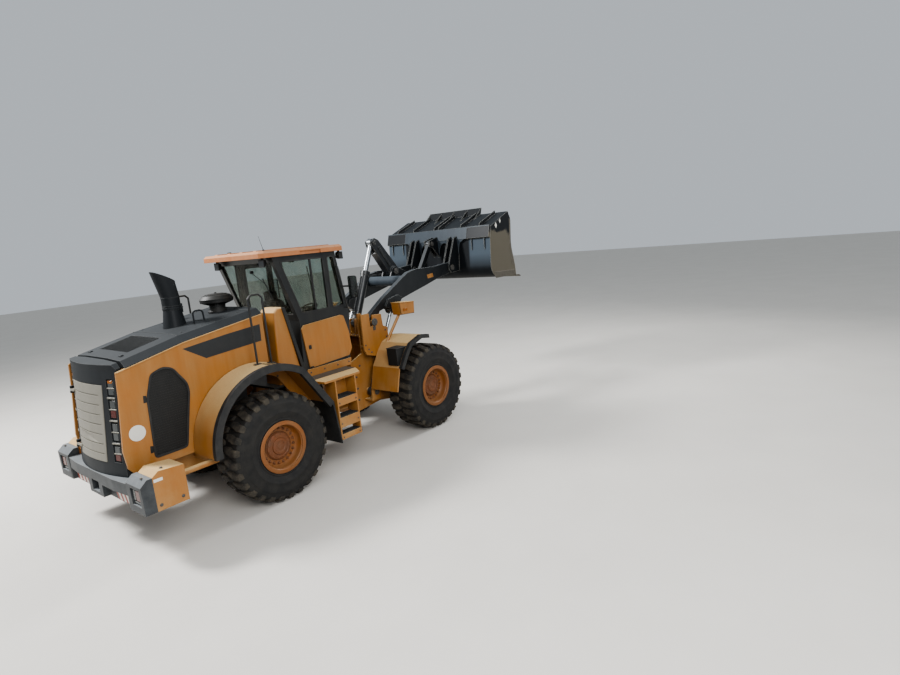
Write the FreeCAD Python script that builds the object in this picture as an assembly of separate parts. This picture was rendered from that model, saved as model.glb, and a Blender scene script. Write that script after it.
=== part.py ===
import FreeCAD, Part
import math
import os

# An articulated wheel loader, in millimetres. +X is forward, +Y left, +Z up.
# The origin is on the ground under the steering pivot, midway between the axles.

vec = FreeCAD.Vector

# Running gear
wheelbase = 3200.0
tread = 2050.0
tyre_r = 745.0
tyre_width = 520.0
tyre_bead_r = 320.0
rim_flange_r = 356.0
rim_half_width = 232.0
rim_face_recess = 135.0
hub_r = 190.0
spindle_r = 85.0
axle_tube_r = 150.0
axle_seat_r = 170.0
trunnion_r = 110.0
trunnion_reach = 370.0
shaft_r = 42.0
axle_centre_r = 260.0
lug_count = 18
lug_base_r = tyre_r - 36.0
lug_share = 0.62

# Clearances
fit = 0.3
running_gap = 5.0

# Steering pivot between the two frames
hitch_low_z = 550.0
hitch_high_z = 1150.0
hitch_lug = 50.0
hitch_plate = 30.0
hitch_r = 110.0
hitch_pin_r = 45.0

# Rear frame
frame_side_y = 430.0
frame_plate = 30.0
frame_low_z = 640.0
frame_high_z = 1010.0
frame_arch_z = 940.0
rear_frame_front = -450.0

# Engine hood
rear_corner_x = -3250.0
grille_wall = 60.0
hood_gap = 25.0
rear_lean = 4.5
hood_half = 755.0
hood_wall = 30.0
hood_back = rear_corner_x + grille_wall + hood_gap
hood_side_back = rear_corner_x - 20.0
hood_front = -1313.0
hood_back_z = 2145.0
hood_mid_x = -2454.0
hood_mid_z = 2332.0
hood_front_z = 2504.0
hood_low_z = 935.0
hood_seam_r = 860.0
hood_plate = 25.0
hood_flange = 80.0
cover_edge = 12.0
crown_rise = 98.0
shoulder_rise = 84.0
shoulder_half = 650.0

# Grille surround and door at the back
rear_bulge = 110.0
hood_pivot_x = hood_back + 30.0
hood_pivot_z = 2212.0
grille_half = 715.0
hood_swing_gap = 35.0
grille_top_half = 450.0
grille_low_half = 390.0
grille_top_z = 1985.0
grille_low_z = 1050.0
grille_hinge_x = rear_corner_x - 90.0
grille_hinge_y = 500.0

# Counterweight
weight_half = 1290.0
weight_back = -3470.0
weight_front = -2960.0
weight_corner_y = 930.0
corner_block_x = -3310.0
corner_high_z = 1000.0
weight_low_z = 600.0
weight_high_z = 905.0
tow_slot_low_z = 640.0
tow_slot_high_z = 780.0
tow_pin_r = 26.0
box_front = -2944.0
box_high_z = 1055.0

# Cab
cab_half = 750.0
cab_wall = 55.0
cab_floor_z = 1500.0
deck_low_z = 1410.0
cab_top_z = 3255.0
window_top_z = 3185.0
cab_front_low = 160.0
cab_front_waist = 258.0
cab_waist_z = 2290.0
cab_front_top = 110.0
cab_back_low = -740.0
cab_back_top = -1022.0
door_hinge_x = -645.0
door_hinge_y = cab_half + 15.0
roof_front = 360.0
roof_back = -1219.0
roof_half = 790.0
roof_top_z = 3366.0
roof_rib = 12.0
glass_t = 8.0

# Fenders
fender_outer_y = 1240.0
fender_edge_y = 1305.0
fender_inner_y = 770.0
fender_t = 25.0
fender_r = 890.0
fender_x = -wheelbase / 2 - 40.0
fender_z = 960.0
fender_knee = 57.0
fender_end = 183.0
fender_toe_x = fender_x + 905.0
fender_toe_z = 1105.0
fender_back_post = fender_x - 770.0
fender_front_post = fender_x + 840.0
flap_low_z = 470.0
flap_t = 18.0

# Steps
step_outer_y = 1290.0
step_inner_y = 1010.0
step_back = -640.0
step_front = -245.0
deck_back = -820.0

# Front frame and tower
side_plate_y = 420.0
side_plate = 30.0
tower_outer_y = 590.0
tower_plate = 30.0
tower_top_z = 2110.0

# Loader pins, in the X-Z plane
arm_x, arm_z = 880.0, 2000.0
bucket_x, bucket_z = 3190.0, 2700.0
bell_x, bell_z = 2050.0, 2760.0
bell_top_x, bell_top_z = 1625.0, 3330.0
bell_low_x, bell_low_z = 2750.0, 2480.0
link_x, link_z = 3250.0, 3190.0
tilt_x, tilt_z = 1020.0, 1950.0
lift_x, lift_z = 760.0, 800.0
lift_eye_x, lift_eye_z = 1446.0, 2130.0

# Loader sections
arm_y = 505.0
arm_width = 90.0
arm_pin_r = 45.0
boss_r = 105.0
lift_barrel_r = 52.0
lift_rod_r = 30.0
lift_cheek_half = 80.0
lift_barrel_length = 945.0
lift_rod_length = 895.0
tilt_barrel_r = 77.0
tilt_rod_r = 42.0
tilt_barrel_length = 960.0
tilt_rod_length = 880.0

# Steering cylinders
steer_base_x, steer_base_y = -860.0, 330.0
steer_eye_x, steer_eye_y = 100.0, 350.0
steer_z = 700.0
steer_barrel_r = 52.0
steer_rod_r = 25.0
steer_barrel_length = 640.0
steer_rod_length = 605.0

# Bucket
bucket_half = 1370.0
bucket_plate = 25.0
bucket_lip_x = 4470.0
bucket_lip_z = 2366.0
bucket_heel_x = 3489.0
bucket_heel_z = 2439.0
bucket_top_x = 3530.0
bucket_top_z = 3440.0
bucket_brow_x = 4160.0
bucket_brow_z = 3700.0


def box(x0, x1, y0, y1, z0, z1):
    return Part.makeBox(x1 - x0, y1 - y0, z1 - z0, vec(x0, y0, z0))


def face_of(points):
    return Part.Face(Part.makePolygon(points + [points[0]]))


def side_prism(points, y0, y1):
    """A profile of (x, z) points carried from y0 to y1."""
    return face_of([vec(x, y0, z) for x, z in points]).extrude(vec(0, y1 - y0, 0))


def plan_prism(points, z0, z1):
    """An outline of (x, y) points carried from z0 to z1."""
    return face_of([vec(x, y, z0) for x, y in points]).extrude(vec(0, 0, z1 - z0))


def cross_prism(points, x0, x1):
    """A section of (y, z) points carried from x0 to x1."""
    return face_of([vec(x0, y, z) for y, z in points]).extrude(vec(x1 - x0, 0, 0))


def pin_y(x, z, y0, y1, r):
    return Part.makeCylinder(r, y1 - y0, vec(x, y0, z), vec(0, 1, 0))


def pin_z(x, y, z0, z1, r):
    return Part.makeCylinder(r, z1 - z0, vec(x, y, z0), vec(0, 0, 1))


def bar(start, end, r):
    run = end - start
    return Part.makeCylinder(r, run.Length, start, run)


def mirrored(shape):
    return shape.mirror(vec(0, 0, 0), vec(0, 1, 0))


def both_sides(shape):
    return Part.makeCompound([shape, mirrored(shape)])


def joined(shapes):
    whole = shapes[0]
    for shape in shapes[1:]:
        whole = whole.fuse(shape)
    return whole.removeSplitter()



def turned(profile, x, z, y=0.0, out=1.0):
    """A (radius, y) profile turned about the Y axis through (x, z)."""
    points = [vec(x + r, y + out * w, z) for r, w in profile]
    return face_of(points).revolve(vec(x, y, z), vec(0, 1, 0), 360)


# Wheels


def make_tyre(x, side):
    """A carcass turned about the axle, with two staggered rows of tread lugs fused to it."""
    half = tyre_width / 2
    sidewall_r = (tyre_bead_r + tyre_r) / 2 + 20
    profile = [(tyre_bead_r, half - 55), (sidewall_r, half), (lug_base_r - 20, half - 12),
               (lug_base_r, half - 60)]
    profile += [(r, -y) for r, y in reversed(profile)]
    carcass = turned(profile, x, tyre_r)
    pitch = 2 * math.pi / lug_count
    for row in (-1, 1):
        rim_points = []
        for i in range(lug_count):
            start = (i + 0.25 * row) * pitch
            for r, share in ((lug_base_r - 8, -0.06), (tyre_r, 0.04), (tyre_r, lug_share - 0.04),
                             (lug_base_r - 8, lug_share + 0.06)):
                angle = start + share * pitch
                rim_points.append((x + r * math.cos(angle), tyre_r + r * math.sin(angle)))
        y0, y1 = sorted((row * 12, row * (half - 24)))
        lugs = side_prism(rim_points, y0, y1)
        carcass = carcass.fuse(lugs.cut(pin_y(x, tyre_r, y0, y1, lug_base_r - 60)))
    carcass.translate(vec(0, side * tread / 2, 0))
    return carcass


def make_rim(x, side):
    barrel_r = tyre_bead_r - fit
    face_y = rim_half_width - rim_face_recess
    edge_y = rim_half_width + 8
    profile = [
        (spindle_r + fit, face_y - 120), (hub_r, face_y - 120), (hub_r + 8, face_y - 26),
        (barrel_r - 34, face_y - 26), (barrel_r - 22, -edge_y), (rim_flange_r, -edge_y),
        (barrel_r, 14 - rim_half_width),
        (barrel_r, rim_half_width - 14), (rim_flange_r, edge_y), (barrel_r - 18, edge_y),
        (barrel_r - 60, face_y),
        (hub_r, face_y + 6), (hub_r - 30, face_y + 40), (60, face_y + 52), (0, face_y + 52),
        (0, face_y - 40),
        (spindle_r + fit, face_y - 40),
    ]
    return turned(profile, x, tyre_r, side * tread / 2, side)


def make_axle(x):
    """A beam axle with its differential bowl, seats for the frame, and wheel spindles."""
    face_y = tread / 2 + rim_half_width - rim_face_recess
    arm = [
        (0, 0), (axle_centre_r, 0), (axle_centre_r, 90), (axle_seat_r, 300), (axle_seat_r, 520),
        (axle_tube_r, 600),
        (axle_tube_r + 10, face_y - 300), (hub_r - 5, face_y - 280),
        (hub_r - 5, face_y - 120 - running_gap),
        (spindle_r, face_y - 120 - running_gap), (spindle_r, face_y - 45), (0, face_y - 45),
    ]
    half = turned(arm, x, tyre_r)
    return joined([half, mirrored(half)])


# Rear half


def make_rear_frame():
    outer = frame_side_y + frame_plate
    back = weight_front + fit
    axle_x = -wheelbase / 2
    rail = box(back, rear_frame_front, frame_side_y, outer, frame_low_z, frame_high_z)
    rail = rail.cut(box(axle_x - 230, axle_x + 230, frame_side_y - 1, outer + 1, 0, frame_arch_z))
    pieces = [rail, mirrored(rail)]
    for x in (back, -2400.0, -1000.0):
        pieces.append(box(x, x + frame_plate, -frame_side_y, frame_side_y, frame_low_z, frame_high_z))
    for side in (-1, 1):
        x = axle_x + side * 320
        pieces.append(box(x - 20, x + 20, -frame_side_y, frame_side_y, 590, 900))
    front_plate = rear_frame_front - frame_plate
    pieces.append(box(front_plate, rear_frame_front, -outer, outer, frame_high_z - 90, deck_low_z - fit))
    pieces.append(box(front_plate, rear_frame_front, -outer, outer, 440, 620))
    for y in (-outer, frame_side_y):
        pieces.append(box(front_plate, rear_frame_front, y, y + frame_plate, 600, frame_low_z + 20))
    for side in (-1, 1):
        y0, y1 = sorted((side * frame_side_y, side * outer))
        pieces.append(box(-900, -860, y0, y1, frame_high_z - 5, deck_low_z - fit))
        y2, y3 = sorted((side * (outer - 5), side * (fender_inner_y - fit)))
        pieces.append(box(fender_front_post - 20, fender_front_post + 20, y2, y3, 870, 930))
        # the rear post stands on a bar, which a tube ties to the corner box
        tube_y, tube_z = side * 975.0, 815.0
        y4, y5 = sorted((side * (outer - 5), tube_y))
        pieces.append(box(fender_back_post - 25, fender_back_post + 25, y4, y5, 780, 860 - fit))
        pieces.append(bar(vec(box_front + fit, tube_y, tube_z), vec(fender_back_post + 25, tube_y, tube_z),
                          38))
    wing = [(front_plate, -300), (-150, -hitch_r), (0, -hitch_r), (0, hitch_r), (-150, hitch_r),
            (front_plate, 300)]
    for z in (hitch_low_z, hitch_high_z):
        for low in (z - hitch_lug / 2 - running_gap - hitch_plate, z + hitch_lug / 2 + running_gap):
            plate = plan_prism(wing, low, low + hitch_plate)
            pieces.append(plate.fuse(pin_z(0, 0, low, low + hitch_plate, hitch_r)))
        reach = hitch_lug / 2 + running_gap + hitch_plate + 25
        pieces.append(pin_z(0, 0, z - reach, z + reach, hitch_pin_r))
    for side in (-1, 1):
        y = side * steer_base_y
        y0, y1 = sorted((y, side * (frame_side_y + 5)))
        for low in (steer_z - 73, steer_z + 43):
            ear = box(steer_base_x - 50, steer_base_x + 50, y0, y1, low, low + 30)
            pieces.append(ear.fuse(pin_z(steer_base_x, y, low, low + 30, 50)))
        pieces.append(pin_z(steer_base_x, y, steer_z - 73, steer_z + 73, 22))
    frame = joined(pieces)
    bore = bar(vec(axle_x - 400, 0, tyre_r), vec(axle_x + 400, 0, tyre_r), trunnion_r + fit)
    shaft_hole = bar(vec(-1010, 0, tyre_r), vec(-960, 0, tyre_r), shaft_r + 30)
    return frame.cut(bore).cut(shaft_hole)


def make_rear_axle():
    axle_x = -wheelbase / 2
    axle = make_axle(axle_x)
    trunnion = bar(vec(axle_x - trunnion_reach, 0, tyre_r), vec(axle_x + trunnion_reach, 0, tyre_r),
                   trunnion_r)
    shaft = bar(vec(axle_x, 0, tyre_r), vec(-1000 + frame_plate, 0, tyre_r), shaft_r)
    return joined([axle, trunnion, shaft])


def make_engine():
    low_z = frame_high_z + fit
    pieces = [box(-2250, -1450, -300, 300, low_z, 1750)]
    for x in (-2200, -1560):
        pieces.append(box(x, x + 80, -frame_side_y - 25, frame_side_y + 25, low_z, low_z + 60))
    return joined(pieces)


def make_radiator():
    return box(-3080, -2860, -560, 560, frame_high_z + fit, 1980)


def make_transmission():
    case = box(-1000 + frame_plate + fit, -560, -215, 215, 640, 1180)
    shaft = bar(vec(-570, 0, 800), vec(-60, 0, 800), shaft_r)
    return joined([case, shaft])


def make_hydraulic_tank():
    """The tall leaning tank behind the cab, standing on the deck."""
    base_z = deck_low_z + 30 + fit
    points = [(-1165, base_z), (-1150, 1800), (-1116, 2480), (-1050, 2543), (-965, 2543), (-915, 2450),
              (-900, 2266),
              (-790, 1650), (-780, base_z)]
    tank = side_prism(points, -745, -400)
    edges = [e for e in tank.Edges if abs(e.CenterOfMass.y + 745) < 1 and e.CenterOfMass.z > base_z + 1]
    return tank.makeFillet(35, edges)


def make_counterweight():
    """The middle block with its bowed bumper, and a corner block with a lamp recess on each side."""
    near, far = weight_front, weight_back
    outline = [(near, -700), (near, 700), (near - 140, 900), (corner_block_x - 60, weight_corner_y),
               (corner_block_x - 130, weight_corner_y), (far, 560), (far, -560),
               (corner_block_x - 130, -weight_corner_y),
               (corner_block_x - 60, -weight_corner_y), (near - 140, -900)]
    body = plan_prism(outline, weight_low_z, weight_high_z)
    # the bumper bar stands out over a recess on each side of the tow block, for the blank reflector strips
    for side in (-1, 1):
        recess = [(far - 5, side * 210), (far - 5, side * 900), (far + 75, side * 880), (far + 75, side * 210)]
        body = body.cut(plan_prism(recess, weight_low_z - 1, weight_high_z - 145))
    corner = side_prism([(corner_block_x, weight_low_z), (corner_block_x - 135, weight_low_z),
                         (corner_block_x - 140, corner_high_z - 70), (corner_block_x - 60, corner_high_z),
                         (corner_block_x, corner_high_z)], weight_corner_y - 20, weight_half)
    corner = corner.cut(box(far - 50, corner_block_x - 95, weight_corner_y + 70, weight_half - 60, 690,
                            890))
    body = joined([body, corner, mirrored(corner)])
    hitch = box(far - 10, far + 130, -110, 110, tow_slot_low_z, tow_slot_high_z)
    pin = pin_z(far + 70, 0, weight_low_z - 10, weight_high_z + 10, tow_pin_r)
    return body.cut(hitch).cut(pin)


def make_corner_weights():
    """The yellow boxes ahead of the corner blocks, each with a bevelled top edge."""
    back = corner_block_x + fit
    points = [(back, weight_low_z), (box_front, weight_low_z), (box_front, box_high_z - 25),
              (back + 75, box_high_z),
              (back, corner_high_z)]
    return both_sides(side_prism(points, weight_corner_y, weight_half))


def seam_z(x):
    """The height of the seam between the hood's yellow sides and its dark cover."""
    if x < hood_mid_x:
        return hood_mid_z - (hood_mid_x - x) / (hood_mid_x - hood_side_back) * (hood_mid_z - hood_back_z)
    return hood_mid_z + (x - hood_mid_x) / (hood_front - hood_mid_x) * (hood_front_z - hood_mid_z)


def crowned(stations, half, rise, low):
    """A body with a crowned top through stations of (x, seam height), the rise above the real one."""
    sections = []
    for x, z in stations:
        points = [(-half, z - low), (half, z - low), (half, z + cover_edge + rise),
                  (shoulder_half, z + shoulder_rise + rise),
                  (300, z + crown_rise + rise), (-300, z + crown_rise + rise),
                  (-shoulder_half, z + shoulder_rise + rise),
                  (-half, z + cover_edge + rise)]
        corners = [vec(x, y, z) for y, z in points]
        sections.append(Part.makePolygon(corners + corners[:1]))
    return Part.makeLoft(sections, True, True)


def hood_crown(rise, half, low, back=hood_back, front=hood_front):
    return crowned([(x, seam_z(x)) for x in (back, hood_mid_x, front)], half, rise, low)


def shrunk(profile):
    """An outline of (x, z) points drawn in by the fit all round."""
    cx = sum(p[0] for p in profile) / len(profile)
    cz = sum(p[1] for p in profile) / len(profile)
    points = []
    for px, pz in profile:
        run = math.hypot(px - cx, pz - cz)
        k = (run - 2 * fit) / run
        points.append((cx + (px - cx) * k, cz + (pz - cz) * k))
    return points


hood_window = [(-3020, 1035), (-2625, 1040), (-2484, 1720), (-2495, 1830), (-2640, 2052), (-2755, 2088),
               (-2905, 2035), (-2990, 1760)]


def rounded_prism(points, y0, y1, r):
    prism = side_prism(points, y0, y1)
    corners = [e for e in prism.Edges if abs(e.Vertexes[0].Y - e.Vertexes[-1].Y) > 1]
    return prism.makeFillet(r, corners)


def make_hood():
    """The yellow side walls, joined by the flange that carries the dark cover."""
    back = hood_side_back
    profile = [(back, hood_back_z), (back - 20, 1850), (back - 86, 1226), (back - 65, 1010),
               (back - 10, hood_low_z),
               (hood_front, hood_low_z), (hood_front, hood_front_z), (hood_mid_x, hood_mid_z)]
    shell = side_prism(profile, -hood_half, hood_half)
    shell = shell.cut(pin_y(fender_x, fender_z, -hood_half - 1, hood_half + 1, hood_seam_r))
    inner_half = hood_half - hood_wall
    under = [(x, seam_z(x) - hood_plate) for x in (hood_front + 10, hood_mid_x, back - 200)]
    shell = shell.cut(side_prism(under + [(back - 200, 0), (hood_front + 10, 0)], -inner_half, inner_half))
    shell = shell.cut(box(back - 200, hood_back, -inner_half, inner_half, 0, 3000))
    opening_half = inner_half - hood_flange
    shell = shell.cut(box(back - 200, hood_front - hood_flange, -opening_half, opening_half, 0, 3000))
    window = rounded_prism(hood_window, inner_half - 5, hood_half + 5, 30)
    return shell.cut(window).cut(mirrored(window))


def make_hood_cover():
    """The dark crowned cover: a shell with a shallow recess at the back and the knuckles of its hinge."""
    cover = hood_crown(0, hood_half, 0)
    cover = cover.cut(hood_crown(-hood_plate, hood_half - hood_plate, hood_plate, hood_back + 10,
                                 hood_front - hood_plate))
    low, high = hood_back + 180, hood_mid_x - 110
    depth = crown_rise - 9
    recess = side_prism([(low, seam_z(low) + depth), (high, seam_z(high) + depth),
                         (high, seam_z(high) + 200),
                         (low, seam_z(low) + 200)], -420, 420)
    cover = cover.cut(recess)
    x, z = hood_pivot_x, hood_pivot_z
    knuckle = pin_y(x, z, 600, 640, 20).fuse(box(x, x + 45, 600, 640, z - 20, z + 30))
    cover = joined([cover, knuckle, mirrored(knuckle)])
    return cover.cut(pin_y(x, z, -641, -599, 10 + fit)).cut(pin_y(x, z, 599, 641, 10 + fit))


def make_hood_mesh():
    """The dark mesh panels seated in the windows of the hood's sides."""
    return both_sides(rounded_prism(shrunk(hood_window), hood_half - 22, hood_half - 8, 30))


def make_exhaust():
    """A stack on a flared base, which turns back and widens to a mouth cut down towards the front."""
    x, bend_z = -2165.0, 2860.0
    mouth = vec(-2220, 0, 3138)

    def widening(foot, foot_r, long_r, short_r, lift):
        ring = Part.makeCircle(foot_r, foot, vec(0, 0, 1))
        rim = Part.Ellipse(vec(0, 0, 0), long_r, short_r).toShape()
        rim.rotate(vec(0, 0, 0), vec(0, 1, 0), 27.9)
        rim.translate(mouth + vec(0.468, 0, 0.884) * lift)
        return Part.makeLoft([Part.Wire(ring), Part.Wire(rim)], True)

    stack = joined([Part.makeCone(152, 112, 260, vec(x, 0, 2440), vec(0, 0, 1)), bar(vec(x, 0, 2690), vec(x, 0, bend_z), 116),
                    widening(vec(x, 0, bend_z), 116, 168, 118, 0)])
    bore = widening(vec(x - 14, 0, bend_z + 75), 96, 154, 106, 12)
    return stack.cut(bore).cut(hood_crown(fit, hood_half, 300))


def turned_up(profile, x, y):
    """A (radius, z) profile turned about an upright axis."""
    return face_of([vec(x + r, y, z) for r, z in profile]).revolve(vec(x, y, 0), vec(0, 0, 1), 360)


def make_precleaner():
    profile = [(0, 2420), (133, 2420), (133, 2575), (106, 2625), (106, 2690), (222, 2702), (231, 2752),
               (190, 2798),
               (100, 2824), (0, 2830)]
    return turned_up(profile, -1518.0, 0).cut(hood_crown(fit, hood_half, 300))


def hinge_parts(x, y, z, half, r, fixed, moving):
    """Two knuckles with a pin on the fixed side and a bored one on the moving side.

    The plates that carry them are given as plan corners (x0, x1, y0, y1)."""
    held = [pin_z(x, y, z - half, z + half, r - 6)]
    for z0, z1 in ((z - half, z - half / 3), (z + half / 3, z + half)):
        held += [pin_z(x, y, z0, z1, r), box(*fixed, z0, z1)]
    low, high = z - half / 3 + 1, z + half / 3 - 1
    swung = pin_z(x, y, low, high, r).fuse(box(*moving, low, high))
    return held, swung.cut(pin_z(x, y, low - 1, high + 1, r - 6 + fit))


def grille_hinges():
    """Pairs of hinge sides for the grille: the strap of each is as long as the door's slanted edge needs."""
    x, y = grille_hinge_x, grille_hinge_y
    pairs = []
    for z, strap_y, depth in ((1150.0, 340.0, 8.0), (1850.0, 388.0, 25.0)):
        pairs.append(hinge_parts(x, y, z, 45, 14, (x - 8, rear_corner_x - 40, y, y + 35),
                                 (x - 12, x + 4, strap_y, y)))
        pairs.append(([], box(x - 12, x + depth, strap_y, strap_y + 45, z - 14, z + 14)))
    return pairs


def rear_arc_prism(half, x_corner, depth, z0, z1, bulge):
    """A panel bowed to the back in plan, between +-half."""
    outer = [vec(x_corner, -half, z0), vec(x_corner - bulge, 0, z0), vec(x_corner, half, z0)]
    edges = [Part.Arc(*outer).toShape()]
    edges.append(Part.LineSegment(outer[2], vec(x_corner + depth, half, z0)).toShape())
    inner = [vec(x_corner + depth, half, z0), vec(x_corner + depth - bulge, 0, z0),
             vec(x_corner + depth, -half, z0)]
    edges.append(Part.Arc(*inner).toShape())
    edges.append(Part.LineSegment(inner[2], outer[0]).toShape())
    return Part.Face(Part.Wire(edges)).extrude(vec(0, 0, z1 - z0))


def rear_arc_block(half, x_corner, x_front, z0, z1, bulge):
    """A block with a bowed back and a straight front."""
    outer = [vec(x_corner, -half, z0), vec(x_corner - bulge, 0, z0), vec(x_corner, half, z0)]
    corners = [outer[2], vec(x_front, half, z0), vec(x_front, -half, z0), outer[0]]
    edges = [Part.Arc(*outer).toShape()]
    edges += [Part.LineSegment(a, b).toShape() for a, b in zip(corners, corners[1:])]
    return Part.Face(Part.Wire(edges)).extrude(vec(0, 0, z1 - z0))


def leaned(shape):
    """Tips the back face about its top edge, so that its foot stands further back."""
    shape.rotate(vec(rear_corner_x, 0, hood_back_z), vec(0, 1, 0), rear_lean)
    return shape


def grille_opening(gap):
    x0, x1 = rear_corner_x - 400, rear_corner_x + 200
    low, high = grille_low_z - gap, grille_top_z + gap
    return cross_prism([(-grille_low_half - gap, low), (grille_low_half + gap, low),
                        (grille_top_half + gap, high), (-grille_top_half - gap, high)], x0, x1)


def make_grille_frame():
    """The dark surround: a bowed wall with a lamp channel at each side, under a crowned cap."""
    panel = rear_arc_prism(grille_half, rear_corner_x, grille_wall, weight_high_z - 120, hood_back_z,
                           rear_bulge)
    panel = panel.cut(grille_opening(0))
    for low, high in ((1070, 1290), (1315, 1560), (1585, 1830), (1855, 2060)):
        channel = rear_arc_prism(grille_half, rear_corner_x - 5, 45, low, high, rear_bulge)
        for y0, y1 in ((525, 655), (-655, -525)):
            panel = panel.cut(channel.common(box(rear_corner_x - 300, rear_corner_x + 100, y0, y1, low,
                                                 high)))
    panel = leaned(joined([panel] + [piece for held, swung in grille_hinges() for piece in held]))
    below = box(rear_corner_x - 500, rear_corner_x + 300, -900, 900, 0, weight_high_z + fit)
    cap_front = hood_back - hood_swing_gap
    cap = rear_arc_block(grille_half, rear_corner_x, cap_front, hood_back_z - 30, hood_back_z + 200,
                         rear_bulge)
    cap = cap.common(crowned([(rear_corner_x - 150, hood_back_z - 22), (cap_front + 1, seam_z(cap_front))],
                             grille_half + 20, 0, 50))
    # a cranked bracket, so that the cover's rear edge can swing down behind and under the pin
    x, z = hood_pivot_x, hood_pivot_z
    bracket = side_prism([(x - 130, z - 165), (x + 72, z - 100), (x + 68, z - 5), (x + 12, z + 11),
                          (x - 12, z + 6),
                          (x - 6, z - 14), (x + 35, z - 25), (x + 32, z - 75), (x - 130, z - 120)], 560,
                          595)
    bracket = bracket.fuse(pin_y(x, z, 560, 645, 10))
    return joined([panel.cut(below), cap, bracket, mirrored(bracket)])


def make_grille_door():
    """The light grille panel, with grooves across it."""
    x = rear_corner_x - 6
    door = rear_arc_prism(grille_half, x, 42, hood_low_z, hood_back_z, rear_bulge)
    door = door.common(grille_opening(-running_gap))
    for i in range(7):
        z = grille_low_z + 95 + i * 118
        groove = rear_arc_prism(grille_half, x - 1, 11, z, z + 12, rear_bulge)
        half = grille_low_half - 35
        door = door.cut(groove.common(box(x - 300, x + 100, -half, half, z, z + 12)))
    return leaned(joined([door] + [swung for held, swung in grille_hinges()]))



def make_rear_fenders():
    band = fender_ring(fender_r, fender_inner_y, fender_outer_y)
    inner = fender_ring(fender_r - 150, fender_inner_y, fender_inner_y + 20)
    posts = []
    for post_x, high in ((fender_back_post, 1395), (fender_front_post, 1150)):
        posts.append(box(post_x - 20, post_x + 20, fender_inner_y, fender_inner_y + 20, 860, high))
    return both_sides(joined([band, inner] + posts))


def make_rear_fender_edges():
    return both_sides(fender_ring(fender_r - 62, fender_outer_y + fit, fender_edge_y, 8))


def fender_ring(inner_r, y0, y1, gap=0.0):
    """A band over the rear wheel out to the fender's skin: an arc, then a straight slope down to the toe."""
    knee, end = math.radians(fender_knee), math.radians(fender_end)
    toe = vec(fender_toe_x, y0, fender_toe_z)
    slope = (toe - vec(fender_x + fender_r * math.cos(knee), y0,
                       fender_z + fender_r * math.sin(knee))).normalize()
    outward = vec(-slope.z, 0, slope.x)

    def rim(r):
        arc = [vec(fender_x + r * math.cos(a), y0, fender_z + r * math.sin(a)) for a in (end,
                                                                                         (end + knee) / 2,
                                                                                         knee)]
        return arc + [toe + outward * (r - fender_r) + slope * gap]

    outer, inner = rim(fender_r + fender_t + gap), rim(inner_r)
    edges = [Part.Arc(*outer[:3]).toShape(), Part.Arc(*inner[:3]).toShape()]
    for a, b in ((outer[2], outer[3]), (outer[3], inner[3]), (inner[3], inner[2]), (inner[0], outer[0])):
        edges.append(Part.LineSegment(a, b).toShape())
    return Part.Face(Part.Wire(Part.__sortEdges__(edges))).extrude(vec(0, y1 - y0, 0))


def make_mud_flaps():
    x, z = fender_toe_x, fender_toe_z
    flap = side_prism([(x - 2, z + 6), (x + 22, z + 22), (x + 95, flap_low_z),
                       (x + 95 - flap_t, flap_low_z)],
                      fender_inner_y + 25, fender_edge_y)
    flap = flap.cut(fender_ring(fender_r, fender_inner_y, fender_outer_y, fit))
    return both_sides(flap.cut(fender_ring(fender_r - 62, fender_outer_y, fender_edge_y + 1, 8 + fit)))


# Cab


def cab_profile(inset):
    i = inset
    return [(cab_back_low + i, cab_floor_z + i), (cab_front_low - i, cab_floor_z + i),
            (cab_front_waist - i, cab_waist_z), (cab_front_top - i, cab_top_z - i),
            (cab_back_top + i, cab_top_z - i), (cab_back_low + 35 + i, cab_waist_z)]


side_window = [(-640, 2400), (-130, 2400), (-130, window_top_z), (-905, window_top_z)]
side_window_front = [(-60, 2400), (185, 2400), (75, window_top_z), (-60, window_top_z)]
door_opening = [(-640, 1600), (-60, 1600), (-60, window_top_z), (-640, window_top_z)]
quarter_window = [(-700, 2420), (-700, window_top_z), (-915, window_top_z)]
door_panes = [[(-560, 2350), (-130, 2350), (-130, window_top_z - 70), (-560, window_top_z - 70)],
              [(-560, 1720), (-130, 1720), (-130, 2240), (-560, 2240)]]


def door_hinges():
    x, y = door_hinge_x, door_hinge_y
    fixed = (x - 45, x, cab_half - 3, y + 8)
    moving = (x + 6, x + 45, cab_half - 3, y + 8)
    return [hinge_parts(x, y, z, 50, 14, fixed, moving) for z in (1800.0, 2900.0)]


def make_cab_frame():
    outer = side_prism(cab_profile(0), -cab_half, cab_half)
    inner = side_prism(cab_profile(cab_wall), -cab_half + cab_wall, cab_half - cab_wall)
    cab = outer.cut(inner)
    cab = cab.cut(side_prism(side_window, -cab_half - 1, -cab_half + cab_wall + 1))
    cab = cab.cut(side_prism(side_window_front, -cab_half - 1, -cab_half + cab_wall + 1))
    cab = cab.cut(side_prism(side_window_front, cab_half - cab_wall - 1, cab_half + 1))
    cab = cab.cut(side_prism(door_opening, cab_half - cab_wall - 1, cab_half + 1))
    cab = cab.cut(side_prism(quarter_window, cab_half - cab_wall - 1, cab_half + 1))
    half = cab_half - cab_wall - 25
    cab = cab.cut(box(0, 500, -half, half, cab_waist_z - 400, window_top_z))
    cab = cab.cut(box(-1200, -700, -half, half, cab_waist_z + 110, window_top_z))
    deck = box(-1300, 20, -fender_inner_y + running_gap, fender_inner_y - running_gap, deck_low_z,
               deck_low_z + 30)
    deck = deck.fuse(box(deck_back, 20, -step_inner_y, step_inner_y, deck_low_z, deck_low_z + 30))
    for x in (-650.0, -60.0):
        for y in (-600.0, 600.0):
            deck = deck.fuse(pin_z(x, y, deck_low_z + 29, cab_floor_z + 1, 50))
    return joined([cab, deck] + [piece for held, swung in door_hinges() for piece in held])


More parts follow.
